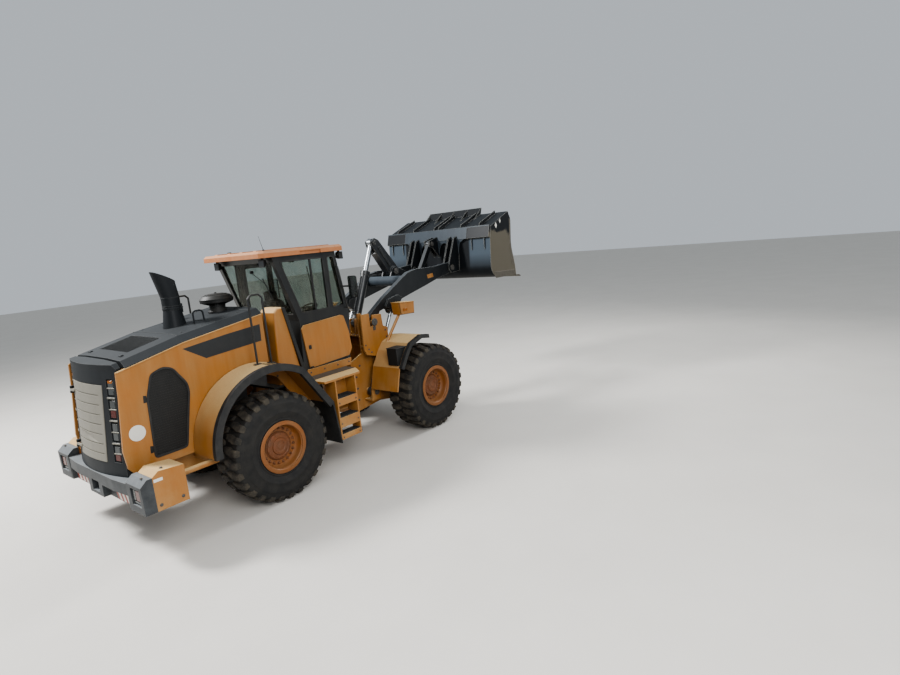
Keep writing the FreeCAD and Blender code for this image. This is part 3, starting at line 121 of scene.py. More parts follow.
def wearAndSheenOnBucket(add, base, place, spot, patches):
    look, height = bucketWearAndSheen, (spot, 2)
    axes = add("SeparateXYZ", None, {0: (place, "Normal")})
    # a painted blue-grey sheen where the light falls on the back shell's bulge, held off between the arches as painted
    # shade, and the sides scoured to a dusty tan below the brow
    outside = add("Math", {"operation": "ABSOLUTE"}, {0: (spot, 1)})
    shellSheenMask = allOf(add, ((height, look["shellFoot"], look["shellFoot"] + 0.3),
                       (height, look["shellTop"] + 0.02, look["shellTop"]), (axes, -0.15, -0.6),
                       (outside, look["archShadowHalf"], look["archShadowHalf"] + 0.04)))
    base = add("Mix", {**rgba, 7: look["shellSheen"]}, {0: shellSheenMask, 6: (base, 2)})
    across = add("Math", {"operation": "ABSOLUTE"}, {0: (axes, 1)})
    ragged = add("Math", {"operation": "MULTIPLY_ADD", 1: 0.5, 2: look["sideTop"] - 0.25}, {0: patches})
    below = add("Math", {"operation": "SUBTRACT"}, {0: ragged, 1: height})
    side = allOf(add, ((across, 0.85, 0.95), (outside, look["sideIn"], look["sideIn"] + 0.035), (below, -0.03, 0.04)))
    base = add("Mix", {**rgba, 7: look["sideTint"]}, {0: side, 6: (base, 2)})
    # gravel has scoured the bowl's floor and back down to the steel
    forward = allOf(add, ((axes, 0.1, 0.35),))
    floor = allOf(add, (((axes, 2), 0.5, 0.8), (height, look["bowlFloor"] + 0.15, look["bowlFloor"])))
    bowl = add("Math", {"operation": "MAXIMUM"}, {0: forward, 1: floor})
    scoured = allOf(add, ((outside, 1.345, 1.335), (height, look["bowlTop"] + 0.25, look["bowlTop"] - 0.2)), bowl)
    return add("Mix", {**rgba, 7: look["bowlTint"]}, {0: scoured, 6: (base, 2)})


# Sprayed machine paint after a season in a quarry: the coat itself, pale stone dust lying on what faces up and caught
# in streaks, and primer or steel where edges rub. How pale what faces up turns also paints light and shade: a painted
# highlight on the sunlit ochre crowns, and painted shade on the bucket. Patches and the width of the worn edges are
# millimetres.
paintColumns = ("coat", "worn", "dust", "edge", "upDustAndLight", "dustAll", "low", "rough", "gloss", "patch", "edgeWidth",
                "edgeWearAndHighlight")
paints = {
    # ochreEnamel: its strong lightening of what faces up is partly dust and partly a painted highlight where the sun
    # lit the crowns
    "ochreEnamel": ("97622A", "855722", "CFB382", "A98A58", 0.85, 0.14, 0.30, 0.40, 0.5, 420, 7, 0.40),
    "charcoalEnamel": ("1C1F22", "16191C", "66696A", "7F7F7C", 0.16, 0.06, 0.35, 0.60, 0.22, 380, 7, 0.40),
    "cabEnamel": ("191B1D", "141617", "7C776C", "4E4C48", 0.30, 0.07, 0.30, 0.36, 0.5, 300, 7, 0.30),
    "castWeight": ("24282C", "1C2023", "878B8D", "807D75", 0.60, 0.10, 0.25, 0.60, 0.5, 160, 7, 0.45),
    "loaderEnamel": ("14171A", "0F1113", "70767B", "8B8B86", 0.36, 0.05, 0.30, 0.36, 0.5, 300, 10, 0.70),
    # bucketEnamel: the scant dust on what faces up is painted shade for the pockets between the top ribs, and the wide
    # pale edges are partly wear and partly a painted highlight along the rib tops
    "bucketEnamel": ("15181B", "0F1114", "6E757B", "9B9A94", 0.08, 0.04, 0.30, 0.55, 0.15, 260, 14, 0.90),
    "dustyBlueEnamel": ("343C44", "2B3239", "60686E", "A6A297", 0.50, 0.22, 0.20, 0.60, 0.2, 200, 7, 0.50),
    "rimEnamel": ("804C1E", "6E3E1A", "8F6F49", "B59069", 0.20, 0.30, 0.12, 0.50, 0.5, 160, 7, 0.35),
    "hubEnamel": ("73411F", "54301B", "7A5C40", "7C5E42", 0.20, 0.30, 0.10, 0.55, 0.5, 120, 7, 0.40),
    "roofGelcoat": ("A46A44", "96603C", "CDAC90", "B08A68", 0.45, 0.20, 0.00, 0.70, 0.3, 500, 7, 0.30),
    "greyGrilleEnamel": ("77746B", "69665E", "9A9587", "A09987", 0.50, 0.34, 0.20, 0.60, 0.5, 240, 7, 0.20),
    "castIron": ("3A3B3C", "2F3031", "857C6E", "6E6A62", 0.60, 0.22, 0.20, 0.70, 0.5, 150, 7, 0.30),
}


def makePaint(name, *values):
    look = dict(zip(paintColumns, values))
    finish, add, place = newFinish(name)
    onPiece = {"Vector": (place, "Object")}
    surface = add("NewGeometry")
    patches = add("TexNoise", {"Scale": 1000 / look["patch"], "Detail": 6, "Roughness": 0.62}, onPiece)
    fine = add("TexNoise", {"Scale": 95, "Detail": 4, "Roughness": 0.7}, onPiece)  # grains of about 10 mm
    # rain has drawn the dust down in soft streaks about 110 mm apart
    stretched = add("Mapping", {"Scale": (9, 9, 1.1)}, onPiece)
    streaks = add("TexNoise", {"Scale": 1, "Detail": 5, "Roughness": 0.6}, {"Vector": stretched})
    softly = add("MapRange", {"From Min": 0.35, "From Max": 0.75}, {"Value": patches})
    base = add("Mix", {**rgba, 6: look["coat"], 7: look["worn"]}, {0: softly})
    axes = add("SeparateXYZ", None, {0: (surface, "Normal")})
    spot = add("SeparateXYZ", None, {0: (place, "Object")})
    if name == "bucketEnamel":
        base = wearAndSheenOnBucket(add, base, place, spot, patches)
    # how much a point faces up: dust lies there, and on the ochre paint this lightening is partly a painted highlight
    # on the sunlit crowns, while the bucket's scant share is painted shade
    upward = add("MapRange", {"From Min": 0.25, "From Max": 0.95, "To Max": look["upDustAndLight"]}, {"Value": (axes, 2)})
    film = add("Math", product, {0: patches, 1: streaks})
    allOver = add("MapRange", {"From Min": 0.12, "From Max": 0.42, "To Max": look["dustAll"]}, {"Value": film})
    # the lowest metre and a half is thrown full of dust by the wheels
    near = add("MapRange", {"From Min": 1.5, "From Max": 0.3, "To Max": look["low"]}, {"Value": (spot, 2)})
    thrown = add("Math", {"operation": "MULTIPLY_ADD"}, {0: near, 1: softly, 2: allOver})
    together = add("Math", {"operation": "ADD"}, {0: upward, 1: thrown})
    grain = add("MapRange", {"From Min": 0.3, "From Max": 0.7, "To Min": 0.72, "To Max": 1.15}, {"Value": fine})
    dust = add("Math", product01, {0: together, 1: grain})
    dusty = add("Mix", {**rgba, 7: look["dust"]}, {0: dust, 6: (base, 2)})
    # worn edges, and on the bucket also a painted highlight along the rib tops, found by comparing the flat normal with
    # a rounded one
    rounded = add("Bevel", {"samples": 4, "Radius": look["edgeWidth"] / 1000})
    bent = add("VectorMath", {"operation": "DOT_PRODUCT"}, {0: rounded, 1: (surface, "Normal")})
    rubbedAndHighlit = add("MapRange", {"From Min": 0.985, "From Max": 0.90, "To Min": 0.0, "To Max": look["edgeWearAndHighlight"]},
                 {"Value": (bent, "Value")})
    broken = add("Math", product01, {0: rubbedAndHighlit, 1: grain})
    colour = add("Mix", {**rgba, 7: look["edge"]}, {0: broken, 6: (dusty, 2)})
    dull = add("MapRange", {"From Max": 0.8, "To Min": look["rough"], "To Max": 0.92}, {"Value": dust})
    orangePeel = add("Bump", {"Strength": 0.12, "Distance": 0.002}, {"Height": fine, "Normal": rounded})
    coat = add("BsdfPrincipled", {"IOR": 1.5, "Specular IOR Level": look["gloss"],
                                  "Coat Weight": 0.24 * look["gloss"], "Coat Roughness": 0.25},
               {"Base Color": (colour, 2), "Roughness": dull, "Normal": orangePeel})
    add("OutputMaterial", None, {"Surface": coat})
    return finish


# Vulcanised tyre rubber: matt black under quarry dust, dark again where the ground wipes it.
def makeRubber(name, coat, dust, amount, rough):
    finish, add, place = newFinish(name)
    onPiece = {"Vector": (place, "Object")}
    coarse = add("TexNoise", {"Scale": 7, "Detail": 7, "Roughness": 0.65}, onPiece)  # patches of 140 mm
    fine = add("TexNoise", {"Scale": 140, "Detail": 3}, onPiece)  # grains of 7 mm, as fine as the picture shows
    share = add("MapRange", {"From Min": 0.35, "From Max": 0.72, "To Max": amount}, {"Value": coarse})
    grainy = add("Math", {"operation": "MULTIPLY_ADD", 1: 1.5, 2: 0.25}, {0: fine})
    mask = add("Math", product01, {0: share, 1: grainy})
    colour = add("Mix", {**rgba, 6: coat, 7: dust}, {0: mask})
    bump = add("Bump", {"Strength": 0.25, "Distance": 0.003}, {"Height": fine})
    skin = add("BsdfPrincipled", {"IOR": 1.52, "Roughness": rough}, {"Base Color": (colour, 2), "Normal": bump})
    add("OutputMaterial", None, {"Surface": skin})
    return finish


# Hard chromed and honed rod, or bare steel that gravel has scoured along its travel. The scratches are per metre.
def makeMetal(name, coat, worn, rough, scratches):
    finish, add, place = newFinish(name)
    drawn = add("Mapping", {"Scale": scratches}, {"Vector": (place, "Object")})
    lines = add("TexNoise", {"Scale": 1, "Detail": 6, "Roughness": 0.7}, {"Vector": drawn})
    colour = add("Mix", {**rgba, 6: coat, 7: worn}, {0: lines})
    dull = add("MapRange", {"To Min": rough, "To Max": rough + 0.25}, {"Value": lines})
    metal = add("BsdfPrincipled", {"Metallic": 1.0}, {"Base Color": (colour, 2), "Roughness": dull})
    add("OutputMaterial", None, {"Surface": metal})
    return finish


# Float glass with a green grey tint and a film of dust that the wiper has not reached.
def makeGlass(name, tint, dust, film):
    finish, add, place = newFinish(name)
    smear = add("TexNoise", {"Scale": 5, "Detail": 5, "Roughness": 0.6}, {"Vector": (place, "Object")})
    share = add("MapRange", {"From Min": 0.35, "From Max": 0.8, "To Max": film}, {"Value": smear})
    clear = add("BsdfPrincipled", {"IOR": 1.12, "Roughness": 0.0, "Transmission Weight": 1.0, "Base Color": tint})
    dirt = add("BsdfPrincipled", {"Roughness": 0.8, "Base Color": dust})
    both = add("MixShader", None, {0: share, 1: clear, 2: dirt})
    add("OutputMaterial", None, {"Surface": both})
    return finish


# Injection moulded parts with a fine spark-eroded grain.
def makeMoulded(name, coat, dust, amount, rough):
    finish, add, place = newFinish(name)
    onPiece = {"Vector": (place, "Object")}
    surface = add("NewGeometry")
    axes = add("SeparateXYZ", None, {0: (surface, "Normal")})
    cloudy = add("TexNoise", {"Scale": 12, "Detail": 6}, onPiece)  # clouds of 80 mm
    grain = add("TexNoise", {"Scale": 400, "Detail": 2}, onPiece)  # grains of 2.5 mm
    upward = add("MapRange", {"From Min": -0.2, "From Max": 1.0, "To Min": 0.1 * amount, "To Max": amount},
                 {"Value": (axes, 2)})
    mask = add("Math", product01, {0: upward, 1: cloudy})
    colour = add("Mix", {**rgba, 6: coat, 7: dust}, {0: mask})
    bump = add("Bump", {"Strength": 0.1, "Distance": 0.001}, {"Height": grain})
    skin = add("BsdfPrincipled", {"IOR": 1.49, "Roughness": rough}, {"Base Color": (colour, 2), "Normal": bump})
    add("OutputMaterial", None, {"Surface": skin})
    return finish


finishes = {name: makePaint(name, *look) for name, look in paints.items()}
otherFinishes = {
    makeRubber: {"casingRubber": ("141414", "48433C", 0.28, 0.8), "treadRubber": ("1B1A19", "6A6152", 0.52, 0.9),
                 "edgeRubber": ("17181A", "57544D", 0.26, 0.6)},
    makeMetal: {"chromedRod": ("A9ADB0", "85888B", 0.2, (6, 6, 60)),
                "scouredSteel": ("8F8A80", "5F5A52", 0.42, (90, 12, 12)),
                "mirrorGlass": ("D4D8DA", "C4C8CA", 0.05, (8, 8, 8)),
                "zincPlate": ("A9A79F", "7E7B72", 0.38, (40, 40, 40))},
    makeGlass: {"tintedGlass": ("C6CFC9", "8A8474", 0.14)},
    makeMoulded: {"blackAbs": ("131415", "5C584F", 0.4, 0.55), "lampPolycarbonate": ("D8D8D2", "A8A294", 0.3, 0.2),
                  "smokedLens": ("3B3F41", "7C786E", 0.5, 0.25), "redLens": ("4A1411", "74564A", 0.5, 0.25),
                  "amberLens": ("8A4E14", "94774E", 0.4, 0.25), "whiteVinyl": ("CFCDC6", "B0A694", 0.3, 0.45),
                  "redVinyl": ("8E2F26", "A8806C", 0.5, 0.45), "stripeVinyl": ("232527", "6F6B62", 0.3, 0.4),
                  "darkWeave": ("1D1E20", "5A564F", 0.4, 0.85)},
}
for maker, looks in otherFinishes.items():
    for name, look in looks.items():
        finishes[name] = maker(name, *look)
print("finishes made")

nodeFinish = {
    "ochreEnamel": "rear_frame hood rear_fenders corner_weights hydraulic_tank front_frame front_fenders head_lamps "
                   "access_steps cab_panels",
    "charcoalEnamel": "rear_axle front_axle grille_frame hood_cover exhaust_stack radiator steer_barrel_left "
                      "steer_barrel_right",
    "castWeight": "counterweight",
    "cabEnamel": "cab_frame cab_door hand_rails",
    "loaderEnamel": "lift_arms bell_crank tilt_link tilt_barrel lift_barrels",
    "bucketEnamel": "bucket",
    "rimEnamel": "rim_front_left rim_front_right rim_rear_left rim_rear_right",
    "roofGelcoat": "cab_roof",
    "greyGrilleEnamel": "grille_door",
    "castIron": "engine transmission",
    "casingRubber": "tyre_front_left tyre_front_right tyre_rear_left tyre_rear_right",
    "edgeRubber": "mud_flaps rear_fender_edges front_fender_edges",
    "chromedRod": "tilt_rod lift_rods steer_rod_left steer_rod_right",
    "scouredSteel": "cutting_edge",
    "tintedGlass": "cab_glass door_glass",
    "blackAbs": "cab_interior mirrors pre_cleaner hood_mesh",
    "lampPolycarbonate": "roof_lamps",
}
for finishName, nodeNames in nodeFinish.items():
    for nodeName in nodeNames.split():
        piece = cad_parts[nodeName]
        piece.data.materials.clear()
        piece.data.materials.append(finishes[finishName])
print("cad nodes finished")


def addPiece(name, verts, faces, finish, body, smooth=False, bevel=0.0, replaces=()):
    mesh = bpy.data.meshes.new(name)
    mesh.from_pydata([tuple(v) for v in verts], [], faces)
    mesh.validate()
    mesh.update()
    work = bmesh.new()
    work.from_mesh(mesh)
    bmesh.ops.recalc_face_normals(work, faces=work.faces)
    work.to_mesh(mesh)
    work.free()
    mesh.materials.append(finishes[finish])
    piece = bpy.data.objects.new(name, mesh)
    bpy.context.collection.objects.link(piece)
    if bevel:
        rounding = piece.modifiers.new("rounding", "BEVEL")
        rounding.width = bevel / 1000
        rounding.segments = 2
        rounding.limit_method = "ANGLE"
        rounding.angle_limit = math.radians(40)
    if smooth or bevel:
        for polygon in mesh.polygons:
            polygon.use_smooth = True
        mesh.set_sharp_from_angle(angle=math.radians(35))
    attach(piece, body)
    if replaces:
        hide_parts(*replaces)
    return piece


def turns(count, start=0.0):
    # angles evenly round a full turn, the first one a share of a step along
    return [2 * math.pi * (i + start) / count for i in range(count)]


def rect(z, x0, x1, y0, y1):
    return [(x0, y0, z), (x1, y0, z), (x1, y1, z), (x0, y1, z)]


def rectAcross(x, y0, y1, z0, z1):
    return [(x, y0, z0), (x, y1, z0), (x, y1, z1), (x, y0, z1)]


class Shape:
    # gathers loose solids into one mesh, in drawing millimetres
    def __init__(self):
        self.verts, self.faces = [], []

    def add(self, verts, faces):
        start = len(self.verts)
        self.verts += verts
        self.faces += [[start + i for i in face] for face in faces]

    def prism(self, near, far):
        n = len(near)
        self.add([Vector(v) for v in list(near) + list(far)],
                 [list(range(n)), list(range(2 * n - 1, n - 1, -1))]
                 + [[i, (i + 1) % n, n + (i + 1) % n, n + i] for i in range(n)])

    def box(self, low, high):
        (x0, y0, z0), (x1, y1, z1) = low, high
        self.prism(rect(z0, x0, x1, y0, y1), rect(z1, x0, x1, y0, y1))

    def sideSlab(self, outline, y0, y1):
        self.prism([(x, y0, z) for x, z in outline], [(x, y1, z) for x, z in outline])

    def rod(self, start, end, radius, sides=16, endRadius=None):
        start, end = Vector(start), Vector(end)
        along = (end - start).normalized()
        across = along.orthogonal().normalized()
        other = along.cross(across)
        self.prism(*[[centre + (across * math.cos(t) + other * math.sin(t)) * r for t in turns(sides)]
                     for centre, r in ((start, radius), (end, radius if endRadius is None else endRadius))])

    def turned(self, profile, centre, sides=64, out=1.0):
        # profile of (radius, sideways) points turned about the y axis through the centre
        cx, cy, cz = centre
        ring, n = [], len(profile)
        for t in turns(sides):
            ring += [Vector((cx + r * math.cos(t), cy + out * w, cz + r * math.sin(t))) for r, w in profile]
        self.add(ring, [[i * n + k, i * n + (k + 1) % n, ((i + 1) % sides) * n + (k + 1) % n, ((i + 1) % sides) * n + k]
                        for i in range(sides) for k in range(n)])

    def tube(self, points, radius, sides=12):
        # a bent steel tube: one ring at each point, square to the way the tube turns there
        points = [Vector(p) for p in points]
        runs = [(b - a).normalized() for a, b in zip(points, points[1:])]
        verts, across = [], runs[0].orthogonal().normalized()
        for i, point in enumerate(points):
            before, after = runs[max(i - 1, 0)], runs[min(i, len(runs) - 1)]
            along = (before + after).normalized()
            across = (across - along * across.dot(along)).normalized()
            other = along.cross(across)
            widen = 1 / max(0.5, along.dot(after))
            verts += [point + (across * math.cos(t) + other * math.sin(t)) * radius * widen for t in turns(sides)]
        faces = [[i * sides + k, i * sides + (k + 1) % sides, (i + 1) * sides + (k + 1) % sides, (i + 1) * sides + k]
                 for i in range(len(points) - 1) for k in range(sides)]
        last = (len(points) - 1) * sides
        self.add(verts, faces + [list(range(sides))[::-1], list(range(last, last + sides))])

    def bolt(self, centre, way, size=11, washer=True):
        # a hexagon head on its washer, standing out along the way
        centre, way = Vector(centre), Vector(way).normalized()
        if washer:
            self.rod(centre - way, centre + way * size * 0.25, size * 1.35, 14)
        self.rod(centre, centre + way * size * 0.95, size, 6)

    def ringSlab(self, outline, width, y0, y1):
        # a flat frame between an outline of (x, z) points and the same drawn in by the width
        inner, n = drawnIn(outline, width), len(outline)
        verts = [Vector((x, y, z)) for points, y in ((outline, y0), (inner, y0), (inner, y1), (outline, y1))
                 for x, z in points]
        self.add(verts, [[a * n + i, a * n + (i + 1) % n, b * n + (i + 1) % n, b * n + i]
                         for i in range(n) for a, b in ((0, 1), (1, 2), (2, 3), (3, 0))])

    def both(self):
        # the same and its mirror image on the other side of the machine
        whole = Shape()
        whole.add(list(self.verts), self.faces)
        whole.add([Vector((v.x, -v.y, v.z)) for v in self.verts], [face[::-1] for face in self.faces])
        return whole

    def place(self, name, finish, body, **more):
        return addPiece(name, [at(*v) for v in self.verts], self.faces, finish, body, **more)


def drawnIn(outline, width):
    # moves each corner in along the line that halves its angle
    area = sum(a[0] * b[1] - b[0] * a[1] for a, b in zip(outline, outline[1:] + outline[:1]))
    turn = 1 if area > 0 else -1
    inner = []
    for i, point in enumerate(outline):
        before, here, after = (Vector(p) for p in (outline[i - 1], point, outline[(i + 1) % len(outline)]))
        inRun, outRun = (here - before).normalized(), (after - here).normalized()
        normal = Vector((-(inRun.y + outRun.y), inRun.x + outRun.x)) * turn
        normal.normalize()
        square = max(0.4, normal.dot(Vector((-inRun.y, inRun.x)) * turn))
        inner.append(tuple(here + normal * width / square))
    return inner


def rounded(outline, radius, steps=5):
    # rounds each corner of an (x, z) outline
    points = []
    for i, point in enumerate(outline):
        here = Vector(point)
        back, ahead = Vector(outline[i - 1]) - here, Vector(outline[(i + 1) % len(outline)]) - here
        reach = min(radius, back.length * 0.45, ahead.length * 0.45)
        first, last = here + back.normalized() * reach, here + ahead.normalized() * reach
        for t in (k / steps for k in range(steps + 1)):
            points.append(tuple(first * (1 - t) ** 2 + here * 2 * t * (1 - t) + last * t ** 2))
    return points


def crossings(outline, level, axis):
    # where a straight line at a level crosses the outline, in order
    hits = []
    for a, b in zip(outline, outline[1:] + outline[:1]):
        if (a[axis] - level) * (b[axis] - level) < 0:
            t = (level - a[axis]) / (b[axis] - a[axis])
            hits.append(a[1 - axis] + t * (b[1 - axis] - a[1 - axis]))
    return sorted(hits)


# tyres: a smooth dark casing, and two staggered rows of dusty rock lugs with buttresses on the shoulders
tyreLook = {"radius": 745.0, "lugs": 28, "lugHeight": 40.0, "bead": 322.0, "wheelX": 1600.0, "wheelY": 1025.0,
            # one lug seen from above: (along the tread in pitches, across from the middle in mm)
            "foot": [(-0.02, 12), (0.42, 12), (0.56, 70), (0.60, 120), (0.72, 168), (0.72, 236), (0.10, 236),
                     (0.10, 170), (-0.06, 118)],
            # its buttress: (along in pitches, below the crown, out from the middle)
            "buttress": [(0.12, 22, 232), (0.70, 22, 232), (0.66, 84, 248), (0.18, 84, 248)], "shoulder": 168}


def makeTyre(name, x, side, body):
    look = tyreLook
    r, base, shoulder = look["radius"], look["radius"] - look["lugHeight"], look["shoulder"]
    # casing section from one bead to the crown, with the moulded rings of the sidewall
    half = [(look["bead"], 200), (352, 210), (366, 232), (380, 234), (392, 227), (430, 242), (470, 252), (478, 257),
            (490, 257), (498, 253), (552, 259), (606, 257), (612, 252), (640, 249), (676, 240), (base - 10, 226),
            (base, 196), (base + 4, 90), (base + 5, 0)]
    section = [(a, -b) for a, b in half] + half[-2::-1] + [(look["bead"], 180), (look["bead"], -180)]
    casing = Shape()
    casing.turned(section, (x, side * look["wheelY"], r), 120)
    casing.place(name + "_casing", "casingRubber", body, smooth=True, replaces=[name])
    pitch = 2 * math.pi / look["lugs"]

    def onTread(t, reach, width):
        return Vector((x + reach * math.cos(t), side * look["wheelY"] + row * width, r + reach * math.sin(t)))

    lugs = Shape()
    for row in (-1, 1):
        for i in range(look["lugs"]):
            start = (i + (0.5 if row > 0 else 0.0)) * pitch
            low, high, near, far = [], [], [], []
            for along, across in look["foot"]:
                drop = 0.0 if across < shoulder else (across - shoulder) * 0.20
                low.append(onTread(start + (along - 0.36) * pitch, base - 16 - drop * 0.8, across))
                high.append(onTread(start + (along - 0.36) * 0.88 * pitch, r - 2.5 - drop, min(across * 0.97 + 3, 228)))
            lugs.prism(low, high)
            for along, depth, out in look["buttress"]:
                t = start + (along - 0.36) * pitch
                near.append(onTread(t, r - depth, out + 3))
                far.append(onTread(t, r - depth, out - 30))
            lugs.prism(near, far)
    lugs.place(name + "_lugs", "treadRubber", body, bevel=5.0, replaces=[name])


# rims: a three-piece flange, a dished disc with a ring of nuts, and the planetary hub's stepped cover
rimLook = {"flange": 356.0, "bead": 320.0, "halfWidth": 232.0, "disc": 97.0, "nuts": 20, "nutCircle": 236.0,
           "coverBolts": 12, "coverCircle": 165.0}


def makeRim(name, x, side, body):
    look = rimLook
    centre = (x, side * tyreLook["wheelY"], tyreLook["radius"])
    f, b, w, d = look["flange"], look["bead"] - 0.5, look["halfWidth"], look["disc"]
    rim, hub = Shape(), Shape()
    rim.turned([(f - 6, w + 8), (f, w + 4), (f, w - 4), (f - 10, w - 9), (b, w - 14), (b, 14 - w), (f - 10, 9 - w),
                (f, 4 - w), (f, -4 - w), (f - 8, -8 - w), (b - 20, -6 - w), (b - 22, 40 - w), (b - 30, d - 26),
                (210, d - 26), (200, d - 20), (200, d + 2), (222, d + 4), (262, d + 6), (b - 50, d + 14),
                (b - 34, d + 34), (b - 28, d + 60), (b - 24, w - 22), (b - 14, w - 12), (b - 14, w), (b - 18, w + 7)],
               centre, 96, side)
    rim.place(name + "_disc", "rimEnamel", body, smooth=True, replaces=[name])
    hub.turned([(198, d - 30), (198, d + 8), (188, d + 12), (182, d + 30), (150, d + 40), (144, d + 36), (118, d + 38),
                (110, d + 56), (78, d + 62), (70, d + 54), (44, d + 54), (38, d + 62), (0.5, d + 64), (0.5, d - 30)],
               centre, 64, side)
    for count, circle, size, depth, start in ((look["nuts"], look["nutCircle"], 15, 24, d + 3),
                                              (look["coverBolts"], look["coverCircle"], 9, 12, d + 32)):
        for t in turns(count, 0.5):
            x0, z0 = centre[0] + circle * math.cos(t), centre[2] + circle * math.sin(t)
            y0, y1 = centre[1] + side * start, centre[1] + side * (start + depth)
            hub.rod((x0, y0, z0), (x0, y1, z0), size, 6)
            if count == look["nuts"]:  # a washer below each nut and the stud's end above it
                hub.rod((x0, y0, z0), (x0, y0 + side * 4, z0), size + 6, 16)
                hub.rod((x0, y1, z0), (x0, y1 + side * 8, z0), 7, 8)
    # the filler plug off centre
    hub.bolt((centre[0] + 62, centre[1] + side * (d + 58), centre[2] + 40), (0, side, 0), 13)
    hub.place(name + "_hub", "hubEnamel", body, bevel=1.5, replaces=[name])


for end, x in (("front", tyreLook["wheelX"]), ("rear", -tyreLook["wheelX"])):
    for sideName, side in (("left", 1), ("right", -1)):
        corner = "%s_%s" % (end, sideName)
        makeTyre("tyre_" + corner, x, side, "wheel_" + corner)
        makeRim("rim_" + corner, x, side, "wheel_" + corner)
print("tyres and rims made")


# hood: rubber-rimmed mesh windows, the bare stripe and sign, and fittings on the dark cover
hoodLook = {"side": 755.0, "rimWidth": 26.0, "wirePitch": 30.0, "wire": 2.6, "signRadius": 94.0, "signAt": (-3167, 1396),
            "window": [(-3020, 1035), (-2625, 1040), (-2484, 1720), (-2495, 1830), (-2640, 2052), (-2755, 2088),
                       (-2905, 2035), (-2990, 1760)],
            "stripe": [(-2476, 2254), (-2194, 2075), (-1377, 2139), (-1368, 2370), (-1871, 2326)],
            "seam": [(-3260, 2145), (-2454, 2332), (-1313, 2504)], "crown": 98.0, "lipBack": -3262,
            "grid": {"back": -2972.0, "front": -2578.0, "half": 408.0, "pitch": 26.0, "wire": 2.4}}


def hoodTop(x, y):
    # the cover's height above the ground, over its flat middle and its sloping shoulders
    (x0, z0), (x1, z1), (x2, z2) = hoodLook["seam"]
    seam = z1 - (x1 - x) / (x1 - x0) * (z1 - z0) if x < x1 else z1 + (x - x1) / (x2 - x1) * (z2 - z1)
    y = abs(y)
    if y < 300:
        return seam + hoodLook["crown"]
    return seam + hoodLook["crown"] - 14 * (y - 300) / 350


